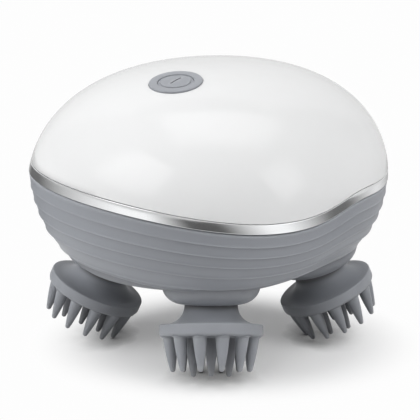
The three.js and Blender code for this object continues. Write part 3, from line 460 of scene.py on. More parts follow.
def housing_section(azimuth):
    wall = ribbed_wall(azimuth)
    inwards = SHELL_WALL + LIP_PLAY
    ledge_radius, ledge = wall[-1]
    lip_foot = ledge_radius - inwards
    tip = trim_top(azimuth) + LIP_RISE
    lip_out = dome_radius(azimuth, tip) - inwards
    inside = inset([bowl_point(azimuth, RIB_DEPTHS[i]) for i in INSIDE_RIBS], SHELL_WALL)
    inside = [(r, max(z, FLOOR_TOP + INSIDE_ABOVE_FLOOR)) for r, z in inside][::-1]
    floor = rounded([(0, FLOOR_BOTTOM, 0), (wall[0][0] - FLOOR_INSET, FLOOR_BOTTOM, FLOOR_EDGE),
                     (*wall[0], 0)], FINE)
    top = rounded([(*wall[-1], 0), (lip_foot, ledge, LIP_EDGE), (lip_out, tip, LIP_EDGE),
                   (lip_out - LIP_WALL, tip, LIP_EDGE),
                   (lip_foot - LIP_WALL, ledge - SHELL_WALL, LIP_FOOT), (*inside[0], 0)], COARSE)
    radius, height = inside[-1]
    corner = radius - (height - FLOOR_TOP)
    return floor + wall[1:] + top[1:] + inside[1:] + [(corner, FLOOR_TOP), (0, FLOOR_TOP)]


housing = wrapped("housing", housing_section, AROUND_BODY)
print("housing before its sockets:", len(housing.data.polygons), "faces")

# %% [markdown]
# Four rounded sockets hang from the floor, one over each head. Each is turned as a bowl about
# its own leaning axis and joined to the housing. Then the hollow inside, the round recess that
# the neck turns in and the bore for the bush are cut, with the screw seats and contact holes.

# %% Sockets, screw seats and contact holes
NECK_RADIUS, NECK_HEIGHT = 7.7, 8
SEAT_GAP = 0.3
SOCKET_MOUTH, SOCKET_RADIUS, SOCKET_DEPTH, SOCKET_WALL = NECK_RADIUS + SEAT_GAP, 14.2, 5.5, 2.2
SOCKET_ROWS = 20
RECESS_TOP, BUSH_BORE = 8.4, 4.4
BUSH_LENGTH, TUBE_WALL = 10, 1.7
LEGS = ((31, 0), (0, 35), (-31, 0), (0, -35))
CONTACT_OUT, CONTACT_RADIUS = 9, 1.5
SCREW_HEAD, SCREW_RADIUS, SCREW_SINK, SCREW_HEAD_HEIGHT = 2.6, 1.2, 0.3, 1.6
PAD_RADIUS, PAD_HEIGHT = 4.6, 3
OVERLAP = 1  # a tool reaches this far past what it joins or cuts
AROUND_HOLLOW, AROUND_TUBE, AROUND_PIN, AROUND_HOLE = 64, 48, 40, 32
SOCKET_SHADE, SOCKET_SHADE_FROM, SOCKET_SHADE_TOP = 0.6, 23.5, 31.0  # painted shade on the sockets under the ribs' overhang
RIB_CREASE_SHADE = ((31, 36, 48), (2.2, 1.8, 0.8))  # painted shade in the ribs' creases, deeper lower down

socket_top = (FLOOR_TOP + SOCKET_RADIUS * math.sin(SOCKET_TILT) - mouth_height) / math.cos(SOCKET_TILT)
bowl = [(0, 0), (SOCKET_MOUTH, 0)]
for i in range(1, SOCKET_ROWS + 1):
    turn = math.pi / 2 * i / SOCKET_ROWS
    bowl.append((SOCKET_MOUTH + (SOCKET_RADIUS - SOCKET_MOUTH) * math.sin(turn),
                 SOCKET_DEPTH * (1 - math.cos(turn))))
bowl += [(SOCKET_RADIUS, socket_top), (0, socket_top)]
combined(housing, [turned("tool", bowl, AROUND_LARGE, place) for place in socket_frames], "UNION")


def standing(*spots):
    return [Matrix.Translation((x * MM, y * MM, 0)) for x, y in spots]


legs, contact_spots = standing(*LEGS), standing((-CONTACT_OUT, 0), (CONTACT_OUT, 0))
axes = list(head_frames.values())
hollow_bottom = RECESS_TOP + SOCKET_WALL - MOUTH_ALONG
bush_top, pad_top, below = RECESS_TOP + BUSH_LENGTH, FLOOR_TOP + PAD_HEIGHT, FLOOR_BOTTOM - OVERLAP
seat_top = FLOOR_BOTTOM + SCREW_SINK + SCREW_HEAD_HEIGHT + SEAT_GAP
hollow = SOCKET_RADIUS - SOCKET_WALL, hollow_bottom, socket_top + OVERLAP
combined(housing, rods(*hollow, AROUND_HOLLOW, socket_frames), "DIFFERENCE")
combined(housing, rods(BUSH_BORE + TUBE_WALL, RECESS_TOP + OVERLAP, bush_top, AROUND_TUBE, axes)
         + rods(PAD_RADIUS, FLOOR_TOP - OVERLAP, pad_top, AROUND_PIN, legs), "UNION")
combined(housing, rods(SOCKET_MOUTH, 0, RECESS_TOP, AROUND_LARGE, axes)
         + rods(BUSH_BORE, 0, bush_top + OVERLAP, AROUND_PIN, axes)
         + rods(SCREW_HEAD + SEAT_GAP, below, seat_top, AROUND_TUBE, legs)
         + rods(SCREW_RADIUS + SEAT_GAP, below, pad_top + OVERLAP, AROUND_HOLE, legs)
         + rods(CONTACT_RADIUS + SEAT_GAP, below, FLOOR_TOP + OVERLAP, AROUND_HOLE, contact_spots),
         "DIFFERENCE")
finished(housing, "base", "lower_housing")
# Painted shade: the sockets' tops are darkened below the ribs, and the ribs' creases more so lower down.
for vertex, crease in zip(housing.data.vertices, housing.data.attributes["crease"].data):
    height = vertex.co.z / MM
    if height < SOCKET_SHADE_TOP:
        share = (height - SOCKET_SHADE_FROM) / (SOCKET_SHADE_TOP - SOCKET_SHADE_FROM)
        crease.value = SOCKET_SHADE * max(share, 0)
    else:
        crease.value *= float(np.interp(height, *RIB_CREASE_SHADE))

# %% [markdown]
# The bezel is a turned cup let into the cover, and the button a cap on a stem inside it. A step
# round the cap fills most of the groove between them, so that the groove is shallow. The
# button's mark is a short engraved line, cut with a slim block whose edges are bevelled.

# %% Bezel
BEZEL_BORE, BEZEL_PROUD = 5.25, 0.15
BEZEL_EDGE, BORE_EDGE, HIDDEN_EDGE = 0.3, 0.25, 0.2
CUP_DEPTH, CUP_WALL = 1.6, 1.0
FLANGE_TOP, FLANGE_WIDE, FLANGE_THICK = -3.1, 1.7, 1.0
STEM_RADIUS, STEM_BOTTOM = 1.6, -3.8
stem_bore = STEM_RADIUS + SEAT_GAP
cup_floor = -CUP_DEPTH - CUP_WALL
flange_radius, flange_bottom = BEZEL_RADIUS + FLANGE_WIDE, FLANGE_TOP - FLANGE_THICK
start = (stem_bore, (cup_floor - CUP_DEPTH) / 2, 0)
bezel_corners = [
    start, (stem_bore, cup_floor, 0), (BEZEL_BORE, cup_floor, 0), (BEZEL_BORE, flange_bottom, 0),
    (flange_radius, flange_bottom, HIDDEN_EDGE), (flange_radius, FLANGE_TOP, HIDDEN_EDGE),
    (BEZEL_RADIUS, FLANGE_TOP, 0), (BEZEL_RADIUS, BEZEL_PROUD, BEZEL_EDGE),
    (BEZEL_BORE, BEZEL_PROUD, BORE_EDGE), (BEZEL_BORE, -CUP_DEPTH, HIDDEN_EDGE),
    (stem_bore, -CUP_DEPTH, 0), start]
bezel = turned("bezel", rounded(bezel_corners, FINE), AROUND_LARGE, button_frame)
finished(bezel, "base", "button_bezel")

# %% Button
BUTTON_RADIUS, BUTTON_CAP, BUTTON_CROWN = 4.35, 1.0, 0.15
BUTTON_EDGE, GROOVE_EDGE = 0.18, 0.08
STEP_RADIUS, STEP_DOWN, STEP_EDGE = 5.1, 0.3, 0.1
CROWN_INSET, CROWN_ROWS = 0.3, 6
crown = []
for i in range(CROWN_ROWS + 1):
    radius = (BUTTON_RADIUS - CROWN_INSET) * (1 - i / CROWN_ROWS)
    crown.append((radius, BEZEL_PROUD + BUTTON_CROWN * (1 - (1 - i / CROWN_ROWS) ** 2)))
cap_bottom, step_top = BEZEL_PROUD - BUTTON_CAP, BEZEL_PROUD - STEP_DOWN
cap = rounded([(0, STEM_BOTTOM, 0), (STEM_RADIUS, STEM_BOTTOM, HIDDEN_EDGE), (STEM_RADIUS, cap_bottom, 0),
               (STEP_RADIUS, cap_bottom, STEP_EDGE), (STEP_RADIUS, step_top, STEP_EDGE),
               (BUTTON_RADIUS, step_top, GROOVE_EDGE), (BUTTON_RADIUS, BEZEL_PROUD, BUTTON_EDGE),
               (*crown[0], 0)], FINE)
button = turned("button", cap[:-1] + crown[1:], AROUND_LARGE)


def block(size, height, turn=0.0):
    """A cutting block round a height on the axis, with its place in its mesh."""
    bpy.ops.object.select_all(action="DESELECT")
    bpy.ops.mesh.primitive_cube_add(size=1, location=(0, 0, height * MM), rotation=(0, 0, turn),
                                    scale=Vector(size) * MM)
    bpy.ops.object.transform_apply(location=True, rotation=True, scale=True)
    return bpy.context.object


# %% The button's mark
MARK_SIZE, MARK_EDGE, MARK_EDGE_STEPS = (0.62, 4.8, 0.4), 0.1, 3
MARK_TURN = math.radians(8)
mark = block(MARK_SIZE, BEZEL_PROUD + BUTTON_CROWN, MARK_TURN)
bpy.ops.object.mode_set(mode="EDIT")
bpy.ops.mesh.select_all(action="SELECT")
bpy.ops.mesh.bevel(offset=MARK_EDGE * MM, segments=MARK_EDGE_STEPS)
bpy.ops.object.mode_set(mode="OBJECT")
combined(button, [mark], "DIFFERENCE")
button.data.transform(button_frame)
finished(button, "button", "power_button")

# %% [markdown]
# A head is one piece of soft silicone over a rigid hub: a neck that flares into a round plate,
# and nineteen fingers under it. The plate is turned with the flare as a quarter of a squarish
# ellipse. One finger with a filleted root and a round tip is turned, copied into three rings,
# and joined. The head is made once and each copy gets its own mesh.

# %% One finger
FINGER_ROOT, FINGER_TIP = 1.98, 0.76  # radii
FINGER_FILLET, FINGER_BELLY, FINGER_SINK = 0.45, 0.14, 0.6
TIP_TURN, TIP_ROWS, SHANK_ROWS, FILLET_ROWS = math.radians(84), 5, 7, 4
AROUND_FINGER = 20
PLATE_BOTTOM = -3.5


def finger_section(length):
    """Points up a finger from its tip to inside the plate."""
    centre = FINGER_TIP - length
    points = [(0, -length)]
    for i in range(1, TIP_ROWS + 1):
        turn = TIP_TURN * i / TIP_ROWS
        points.append((FINGER_TIP * math.sin(turn), centre - FINGER_TIP * math.cos(turn)))
    (thin, low), fillet = points[-1], FINGER_FILLET
    for i in range(1, SHANK_ROWS + 1):
        share = i / SHANK_ROWS
        radius = thin + (FINGER_ROOT - thin) * share + FINGER_BELLY * math.sin(math.pi * share)
        points.append((radius, low + (-fillet - low) * share))
    for i in range(1, FILLET_ROWS + 1):
        turn = math.pi / 2 * i / FILLET_ROWS
        points.append((FINGER_ROOT + fillet * (1 - math.cos(turn)), -fillet + fillet * math.sin(turn)))
    return points + [(FINGER_ROOT + fillet, FINGER_SINK), (0, FINGER_SINK)]


# %% Three rings of fingers
RINGS = (  # count, radius, first finger's angle in degrees, length
    (12, 12.2, 15, 9.93),
    (6, 6.3, 0, 11.3),
    (1, 0, 0, 11.3),
)
LEAN = 0.07  # the tips stand in by this share of their ring's radius
fingers = []
for count, radius, first, length in RINGS:
    lean = Matrix.Rotation(math.atan(radius * LEAN / length), 4, "Y")
    out = Matrix.Translation((radius * MM, 0, PLATE_BOTTOM * MM))
    for i in range(count):
        spin = Matrix.Rotation(math.radians(first + 360 * i / count), 4, "Z")
        fingers.append(turned("finger", finger_section(length), AROUND_FINGER, spin @ out @ lean))
print("fingers:", len(fingers), "of", len(fingers[0].data.polygons), "faces")

# %% Plate, neck and the hub's pocket
PLATE_RADIUS, PLATE_EDGE, RIM_EDGE = 15, 0.9, 0.4
FLARE_HEIGHT, FLARE_SQUARENESS, FLARE_ROWS = 6, 2.3, 23
RIM_MEETS = 3  # the row of the flare that the rim's rounding runs into
POCKET = ((5.7, NECK_HEIGHT), (5.7, 0.2), (10.7, 0.2), (10.7, -2.3), (0, -2.3))  # round the hub
flare = []
for i in range(FLARE_ROWS + 1):
    turn = math.pi / 2 * i / FLARE_ROWS
    inwards = (PLATE_RADIUS - NECK_RADIUS) * math.sin(turn) ** (2 / FLARE_SQUARENESS)
    rise = FLARE_HEIGHT * (1 - math.cos(turn) ** (2 / FLARE_SQUARENESS))
    flare.append((PLATE_RADIUS - inwards, rise))
rim = rounded([(0, PLATE_BOTTOM, 0), (PLATE_RADIUS, PLATE_BOTTOM, PLATE_EDGE),
               (PLATE_RADIUS, 0, RIM_EDGE), (*flare[RIM_MEETS], 0)], FINE)
head_section = [*rim, *flare[RIM_MEETS + 1:], (NECK_RADIUS, NECK_HEIGHT), *POCKET]
head = turned("head", head_section, AROUND_LARGE)
combined(head, fingers, "UNION")
smooth(head)
mark_edges(head)

# %% [markdown]
# A head gets painted shade round the top of its neck, where the socket's mouth shadows it, and
# between the inner fingers, where little light reaches. A texture cannot know these places
# either, so they are added to the creases' darkening by height and by distance from the head's axis.

# %% Painted shade on a head
NECK_SHADE_FROM, NECK_SHADE_FULL = 2.8, 4.8  # heights on the neck where the painted shade begins and where it is full
ROOT_SHADE = 0.4  # how much of the darkened creases stays round the fingers' roots, as painted shade
INNER_SHADE = ((8.5, 13), (0.5, 0))  # distances from the axis, and the painted shade there
for vertex, crease in zip(head.data.vertices, head.data.attributes["crease"].data):
    x, y, z = vertex.co / MM
    neck_shade = (z - NECK_SHADE_FROM) / (NECK_SHADE_FULL - NECK_SHADE_FROM)
    crease.value = max(crease.value * ROOT_SHADE, min(max(neck_shade, 0), 1) ** 2)
    if z < PLATE_BOTTOM - RIM_EDGE:
        crease.value = max(crease.value, float(np.interp(math.hypot(x, y), *INNER_SHADE)))
print("head:", len(head.data.polygons), "faces")

# %% Four heads
HEAD_TURNS = {"rear_right": -12, "front_left": -5}  # degrees, as the photographed heads stand
for name, place in head_frames.items():
    turn = math.radians(HEAD_TURNS.get(name, 0))
    copy = copied(head, f"silicone_{name}", place @ Matrix.Rotation(turn, 4, "Z"))
    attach(copy, f"head_{name}")
    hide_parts(f"massage_head_{name}")
bpy.data.objects.remove(head)

# %% [markdown]
# Under the floor sit four small cross head screws and two brass charging contacts. The screw is
# turned with a domed, rounded head, and its recess is cut with two crossed blocks that narrow
# towards the bottom.

# %% Screws and contacts
SCREW_BOTTOM = FLOOR_BOTTOM + SCREW_SINK
SCREW_SEAT, SCREW_LENGTH = SCREW_BOTTOM + SCREW_HEAD_HEIGHT, 9
FLAT_INSET, FLAT_EDGE, SIDE_FROM, SIDE_EDGE = 0.9, 1.2, 0.45, 0.25
SEAT_EDGE, END_EDGE = 0.1, 0.2
ARM_SIZE, FACING_UP = (2.9, 0.55, 1.8), 0.9
ARM_END = (0.45, 0.7, 1)  # the far end's size, as shares of the near one's
CONTACT_LENGTH, CONTACT_EDGE = 5, 0.3


def narrowing_block():
    """One arm of the cross recess, narrower at its end inside the screw's head."""
    arm = block(ARM_SIZE, SCREW_BOTTOM)
    bpy.ops.object.mode_set(mode="EDIT")
    bpy.ops.mesh.select_all(action="DESELECT")
    bpy.ops.object.mode_set(mode="OBJECT")
    for face in arm.data.polygons:
        face.select = face.normal.z > FACING_UP
    bpy.ops.object.mode_set(mode="EDIT")
    bpy.ops.mesh.select_mode(type="FACE")
    bpy.ops.transform.resize(value=ARM_END)
    bpy.ops.object.mode_set(mode="OBJECT")
    return arm


arms = [narrowing_block(), narrowing_block()]
arms[1].data.transform(Matrix.Rotation(math.pi / 2, 4, "Z"))
screw_end = SCREW_SEAT + SCREW_LENGTH
screw_section = rounded([
    (0, SCREW_BOTTOM, 0), (SCREW_HEAD - FLAT_INSET, SCREW_BOTTOM, FLAT_EDGE),
    (SCREW_HEAD, SCREW_BOTTOM + SIDE_FROM, SIDE_EDGE), (SCREW_HEAD, SCREW_SEAT, SEAT_EDGE),
    (SCREW_RADIUS, SCREW_SEAT, SEAT_EDGE), (SCREW_RADIUS, screw_end, END_EDGE), (0, screw_end, 0)])
screw = combined(turned("screw", screw_section, AROUND_PIN), arms, "DIFFERENCE")
for name, spot in zip(("right", "rear", "left", "front"), legs):
    finished(copied(screw, f"floor_screw_{name}", spot), "base", f"base_screw_{name}")
bpy.data.objects.remove(screw)

contact_top = FLOOR_BOTTOM + CONTACT_LENGTH
contact_section = rounded([(0, FLOOR_BOTTOM, 0), (CONTACT_RADIUS, FLOOR_BOTTOM, CONTACT_EDGE),
                           (CONTACT_RADIUS, contact_top, END_EDGE), (0, contact_top, 0)])
for name, spot in zip(("left", "right"), contact_spots):
    contact = turned(f"contact_{name}", contact_section, AROUND_PIN, spot)
    finished(contact, "base", f"charge_contact_{name}")

# %% [markdown]
# Finishes share two effects. Moulded surface adds a fine grain, a slow drift of colour and
# roughness, paler edges from rubbing and from painted highlight, and creases darkened by dust and
# by painted shade. Drawn metal adds fine streaks along one direction and small dull spots. Each is
# a node group, built once and used with other values.

# %% Node helpers
def fill(tree, node, values):
    """Links sockets to a node's inputs, by name or in order, or sets these to numbers and colours."""
    for key, value in values.items() if isinstance(values, dict) else enumerate(values):
        if isinstance(value, bpy.types.NodeSocket):
            tree.links.new(value, node.inputs[key])
        else:
            node.inputs[key].default_value = value


def new_node(tree, kind, values=(), **settings):
    """A node with its settings made and its inputs filled."""
    node = tree.nodes.new(f"ShaderNode{kind}")
    for key, value in settings.items():
        setattr(node, key, value)
    fill(tree, node, values)
    return node


def math_node(tree, operation, *values, clamp=False):
    """A Math node's output. Its values are numbers or other sockets."""
    return new_node(tree, "Math", values, operation=operation, use_clamp=clamp).outputs[0]


def times(tree, a, b, clamp=False):
    return math_node(tree, "MULTIPLY", a, b, clamp=clamp)


def plus(tree, a, b, clamp=False):
    return math_node(tree, "ADD", a, b, clamp=clamp)


def minus(tree, a, b):
    return math_node(tree, "SUBTRACT", a, b)


def noise(tree, vector, scale, detail=2.0, rough=0.5):
    values = {"Vector": vector, "Scale": scale, "Detail": detail, "Roughness": rough}
    return new_node(tree, "TexNoise", values).outputs["Fac"]


def uneven(tree, *noise_values):
    """Noise from about -0.5 to 0.5."""
    return minus(tree, noise(tree, *noise_values), 0.5)


def mixed(tree, share, a, b, mode="MIX"):
    values = {"Factor": share, 6: a, 7: b}  # the node has its colours there
    return new_node(tree, "Mix", values, data_type="RGBA", blend_type=mode).outputs[2]


def attribute(tree, name):
    return new_node(tree, "Attribute", attribute_name=name).outputs["Fac"]


def brightened(tree, colour, gain):
    grey = new_node(tree, "CombineColor", (gain, gain, gain))
    return mixed(tree, 1.0, colour, grey.outputs[0], "MULTIPLY")


def new_group(name, keys):
    """A node group with named inputs, and with colour, roughness and height as outputs."""
    tree = bpy.data.node_groups.new(name, "ShaderNodeTree")
    for way, names in (("INPUT", keys), ("OUTPUT", ("Colour", "Roughness", "Height"))):
        for key in names:
            kind = "NodeSocketColor" if key == "Colour" else "NodeSocketFloat"
            tree.interface.new_socket(name=key, in_out=way, socket_type=kind)
    inputs = tree.nodes.new("NodeGroupInput").outputs
    place = new_node(tree, "TexCoord").outputs["Object"]
    return tree, inputs, tree.nodes.new("NodeGroupOutput"), place


# %% Moulded surface group
MOULDED_VALUES = ("Colour", "Roughness", "Roughness drift", "Colour drift", "Grain scale", "Grain",
                  "Wear", "Dust")
SLOW_NOISE, PATCH_NOISE = (38, 3), (240, 4)  # scale and detail
WORN_AND_HIGHLIGHT_COLOUR, DUST_AND_SHADE_COLOUR = (0.82, 0.83, 0.84, 1), (0.1, 0.1, 0.105, 1)
WORN_SMOOTHER, DUST_ROUGHER = 0.15, 0.2
SLOW_COLOUR, PATCH_COLOUR, SLOW_ROUGHNESS = 1.2, 0.5, 0.7  # how strongly the noises act
WEAR_AND_HIGHLIGHT_LEVEL = 0.9  # the mean of the uneven paling of edges
tree, inputs, output, place = new_group("moulded surface", MOULDED_VALUES)
slow, patch = uneven(tree, place, *SLOW_NOISE), uneven(tree, place, *PATCH_NOISE)
fine = noise(tree, place, inputs["Grain scale"])
drift = plus(tree, times(tree, slow, SLOW_COLOUR), times(tree, patch, PATCH_COLOUR))
gain = plus(tree, times(tree, drift, inputs["Colour drift"]), 1.0)
# Pale edges come from rubbing and from painted highlight; dark creases are dust and painted shade.
worn_and_highlit = times(tree, attribute(tree, "wear"), inputs["Wear"])
worn_and_highlit = times(tree, worn_and_highlit, plus(tree, patch, WEAR_AND_HIGHLIGHT_LEVEL), clamp=True)
dust_and_shade = times(tree, attribute(tree, "crease"), inputs["Dust"], clamp=True)
paler = mixed(tree, worn_and_highlit, brightened(tree, inputs["Colour"], gain), WORN_AND_HIGHLIGHT_COLOUR)
darker = mixed(tree, dust_and_shade, paler, DUST_AND_SHADE_COLOUR)
swing = plus(tree, patch, times(tree, slow, SLOW_ROUGHNESS))
rough = plus(tree, inputs["Roughness"], times(tree, swing, inputs["Roughness drift"]))
rough = minus(tree, rough, times(tree, worn_and_highlit, WORN_SMOOTHER))
rough = plus(tree, rough, times(tree, dust_and_shade, DUST_ROUGHER), clamp=True)
fill(tree, output, (darker, rough, times(tree, fine, inputs["Grain"])))
moulded = tree
print("group", moulded.name, "has", len(moulded.nodes), "nodes")

# %% Drawn metal group
DRAWN_VALUES = ("Colour", "Roughness", "Streaks", "Streak scale", "Spots")
STREAK_STRETCH = (0.12, 0.12, 3.0)
STREAK_NOISE, SPOT_NOISE = (3, 0.6), (300, 4)  # detail and roughness, scale and detail
tree, inputs, output, place = new_group("drawn metal", DRAWN_VALUES)
stretch = new_node(tree, "Mapping", {"Vector": place, "Scale": STREAK_STRETCH})
streak = uneven(tree, stretch.outputs[0], inputs["Streak scale"], *STREAK_NOISE)
streaks = times(tree, streak, inputs["Streaks"])
spots = times(tree, uneven(tree, place, *SPOT_NOISE), inputs["Spots"])
colour = brightened(tree, inputs["Colour"], plus(tree, 1.0, spots))
rough = plus(tree, inputs["Roughness"], plus(tree, streaks, spots), clamp=True)
fill(tree, output, (colour, rough, streaks))
drawn = tree
print("group", drawn.name, "has", len(drawn.nodes), "nodes")


# %% Material helpers
def new_material(name):
    """A material, its node tree and its Principled node."""
    material = bpy.data.materials.new(name)
    material.use_nodes = True
    return material, material.node_tree, material.node_tree.nodes["Principled BSDF"]


def surface(tree, shader):
    """Gives a material the look of a shader node."""
    fill(tree, tree.nodes["Material Output"], {"Surface": shader.outputs[0]})


def finish(name, group, values, bump, shader):
    """A material: the group's values, strength and depth of its bump, and the shader's own constants."""
    material, tree, principled = new_material(name)
    effect = new_node(tree, "Group", values, node_tree=group).outputs
    relief = new_node(tree, "Bump", {"Strength": bump[0], "Distance": bump[1], "Height": effect["Height"]})
    fill(tree, principled, {"Base Color": effect["Colour"], "Roughness": effect["Roughness"],
                            "Normal": relief.outputs[0], **shader})
    return material


def grey_of(level, tint=(1, 1, 1)):
    """A linear colour from an 8 bit grey level and a tint."""
    linear = (level / 255) ** 2.2
    return (*[linear * t for t in tint], 1)


# %% [markdown]
# The cover is a hard polished plastic: a white base under a clear glossy skin that drifts a
# little, as mouldings do. The housing and the button are the same kind of plastic with a fine
# spark eroded grain. Silicone is duller, with a soft sheen, a painted highlight on its edges, and
# dust and painted shade in its creases. The trim is plated and satin, and the parts inside are
# steel, brass, nylon, a sleeved cell and a board.

# %% Finishes
COOL = (0.945, 0.99, 1.085)
BLUE, GREEN, BRASS = (0.028, 0.115, 0.34, 1), (0.014, 0.147, 0.06, 1), (0.58, 0.37, 0.1, 1)
WHITE, PLATED = grey_of(242, (0.995, 1, 1.003)), grey_of(246, (0.99, 1, 1.01))
NATURAL = grey_of(228, (1, 0.97, 0.9))
MOULDED = {  # name, values in MOULDED_VALUES' order, bump, the shader's constants
    "white_gloss": ("polished white plastic", (WHITE, 0.06, 0.03, 0.012, 900, 0.3, 0.1, 0.25),
        (0.05, 0.00002), {"Coat Weight": 0.2, "Coat Roughness": 0.03, "IOR": 1.46}),
    # The housing's darkened creases carry painted shade under the ribs and round the sockets.
    "grey_shell": ("eroded grey plastic", (grey_of(155, COOL), 0.42, 0.1, 0.05, 5200, 1, 0.3, 0.5),
        (0.35, 0.00006), {"IOR": 1.48}),
    "grey_button": ("grey button plastic", (grey_of(155.5, COOL), 0.38, 0.08, 0.04, 5600, 1, 0.15, 0.6),
        (0.25, 0.00005), {"IOR": 1.48}),
    # On silicone the paled edges are a painted highlight on rims and fingertips, and the darkened creases
    # are painted shade.
    "grey_silicone": ("soft grey silicone", (grey_of(147, COOL), 0.46, 0.12, 0.06, 4200, 1, 0.2, 0.9),
        (0.3, 0.00008), {"IOR": 1.42, "Sheen Weight": 0.1}),
    "black_nylon": ("black nylon", (grey_of(42), 0.55, 0.15, 0.15, 3000, 1, 0.1, 0.2),
        (0.5, 0.0001), {"IOR": 1.52}),
    "white_nylon": ("natural nylon", (NATURAL, 0.5, 0.12, 0.06, 3000, 1, 0.1, 0.2),
        (0.4, 0.0001), {"IOR": 1.52}),
    "blue_sleeve": ("blue shrink sleeve", (BLUE, 0.4, 0.15, 0.1, 700, 1, 0.1, 0.1),
        (0.3, 0.0002), {"IOR": 1.5}),
    "board_green": ("green board lacquer", (GREEN, 0.4, 0.15, 0.25, 1200, 1, 0.1, 0.1),
        (0.3, 0.0001), {"IOR": 1.5}),
}
DRAWN = {  # the same, with values in DRAWN_VALUES' order
    "silver_trim": ("satin plated trim", (PLATED, 0.14, 0.08, 700, 0.05), (0.06, 0.00003), {"Metallic": 1}),
    "steel": ("turned steel", (grey_of(190), 0.28, 0.2, 900, 0.1), (0.15, 0.00005), {"Metallic": 1}),
    "brass": ("turned brass", (BRASS, 0.28, 0.2, 900, 0.12), (0.15, 0.00005), {"Metallic": 1}),
}
FINISHES = {slot: finish(name, group, *rest) for group, table in ((moulded, MOULDED), (drawn, DRAWN))
            for slot, (name, *rest) in table.items()}
print("finishes:", len(FINISHES))

# %% [markdown]
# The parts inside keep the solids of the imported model, so their finishes go straight onto the
# slots of these objects. The new pieces are found by the start of their names in the same way.

# %% Dressing the parts
KEPT = {
    "black_nylon": ("switch_plunger", "tact_switch", "chassis", "head_hub_"),
    "board_green": ("circuit_board",), "blue_sleeve": ("battery_cell",),
    "white_nylon": ("drive_gear", "reduction_wheel", "head_gear_"),
    "steel": ("drive_shaft", "motor_can", "motor_shaft", "head_shaft_"),
    "brass": ("motor_pinion", "head_bush_"),
}


def dress(piece, material):
    if not piece.material_slots:
        piece.data.materials.append(material)
    for slot in piece.material_slots:
        slot.material = material


NEW = {
    "white_gloss": ("cover",), "silver_trim": ("trim",), "grey_shell": ("housing",),
    "grey_button": ("bezel", "button"), "grey_silicone": ("silicone_",),
    "steel": ("floor_screw_",), "brass": ("contact_",),
}
new_pieces = {piece.name: piece for piece in bpy.data.objects
              if piece.type == "MESH" and piece.name not in frame["nodes"]}
for table, pieces in ((KEPT, frame["nodes"]), (NEW, new_pieces)):
    for slot, starts in table.items():
        dressed = [piece for name, piece in pieces.items() if name.startswith(starts)]
        for piece in dressed:
            dress(piece, FINISHES[slot])
        print(slot, "on", len(dressed), "parts")

# %% [markdown]
# The background of the photograph is white. More light on the object would wash it out, so the
# world has two levels: it looks white to the camera and in reflections, and it lights the object
# only weakly. A Light Path node tells the two kinds of ray apart.

# %% World
WORLD_LEVEL = 0.05
BACKGROUND = 0.985


def seen_directly(tree):
    """1 for rays from the camera and through reflections and glass, 0 for light on surfaces."""
    path = new_node(tree, "LightPath").outputs
    seen = math_node(tree, "MAXIMUM", path["Is Camera Ray"], path["Is Glossy Ray"])
    return math_node(tree, "MAXIMUM", seen, path["Is Transmission Ray"])


world = bpy.data.worlds.new("studio")
bpy.context.scene.world = world
world.use_nodes = True
tree = world.node_tree
strength = math_node(tree, "MULTIPLY_ADD", seen_directly(tree), BACKGROUND - WORLD_LEVEL, WORLD_LEVEL)
fill(tree, tree.nodes["Background"], {"Color": (1, 1, 1, 1), "Strength": strength})

# %% [markdown]
# The floor is white paper. It keeps the soft shadow under the object, and to the camera it glows
# more and more with the distance from a spot near the middle, so that it runs into the white
# background. For the light it throws back on the object, its colour is painted darker near that
# spot: a painted shade under the object. The lamps are too large to draw the small dark contact
# shadows where fingers touch the paper, so an Ambient Occlusion node paints these into the floor's colour.

# %% Floor
FLOOR_SIZE, FLOOR_ROUGHNESS = 6, 0.9
FLOOR_SEEN = 0.97  # how pale it is to the camera
FLOOR_BOUNCE = 0.75  # and to the light that it throws on the object, away from the painted shade near the middle
GLOW_CENTRE = (0.0076, 0.0001, 0)
GLOW_STRETCH = (1.26, 1, 1)  # the shadow is longer across the picture
GLOW_START, GLOW_END, GLOW_LEAST = 0.026, 0.049, 0.2  # metres from the centre, glow at the start
TOUCH_REACH, TOUCH_DEPTH = 0.006, 2.2  # how far from a finger tip the painted contact shadow reaches, and how dark it is
bpy.ops.object.select_all(action="DESELECT")
bpy.ops.mesh.primitive_plane_add(size=FLOOR_SIZE)
floor = bpy.context.object
floor.name = "floor"
material, tree, paint = new_material("white floor")
seen = seen_directly(tree)
oval = new_node(tree, "Mapping", {
    "Vector": new_node(tree, "TexCoord").outputs["Object"], "Location": GLOW_CENTRE,
    "Rotation": (0, 0, math.radians(CAMERA_AZIMUTH)), "Scale": GLOW_STRETCH}, vector_type="TEXTURE")
distance = new_node(tree, "VectorMath", (oval.outputs[0],), operation="LENGTH")
fade = new_node(tree, "MapRange", {
    "Value": distance.outputs["Value"], "From Min": GLOW_START, "From Max": GLOW_END,
    "To Min": GLOW_LEAST}, interpolation_type="SMOOTHSTEP").outputs[0]
# Painted shade: the floor's colour for light is darker near the middle.
bounce = times(tree, fade, FLOOR_BOUNCE)
shade = math_node(tree, "MULTIPLY_ADD", seen, minus(tree, FLOOR_SEEN, bounce), bounce)
# Painted contact shadow from ambient occlusion.
touch = new_node(tree, "AmbientOcclusion", {"Distance": TOUCH_REACH})
untouched = math_node(tree, "POWER", touch.outputs["AO"], TOUCH_DEPTH)
fill(tree, paint, {"Base Color": times(tree, shade, untouched), "Roughness": FLOOR_ROUGHNESS})
glow = new_node(tree, "Emission", {"Strength": BACKGROUND})
glowing_share = times(tree, times(tree, seen, fade), untouched)
surface(tree, new_node(tree, "MixShader", (glowing_share, paint.outputs[0], glow.outputs[0])))
dress(floor, material)

# %% [markdown]
# Five area lamps light the object: three from the sides and above, a low one that lifts the
# right head, and a weak one behind. Large lamps close by give soft shading. None of them shows
# in reflections, because the next step makes softboxes for these alone.

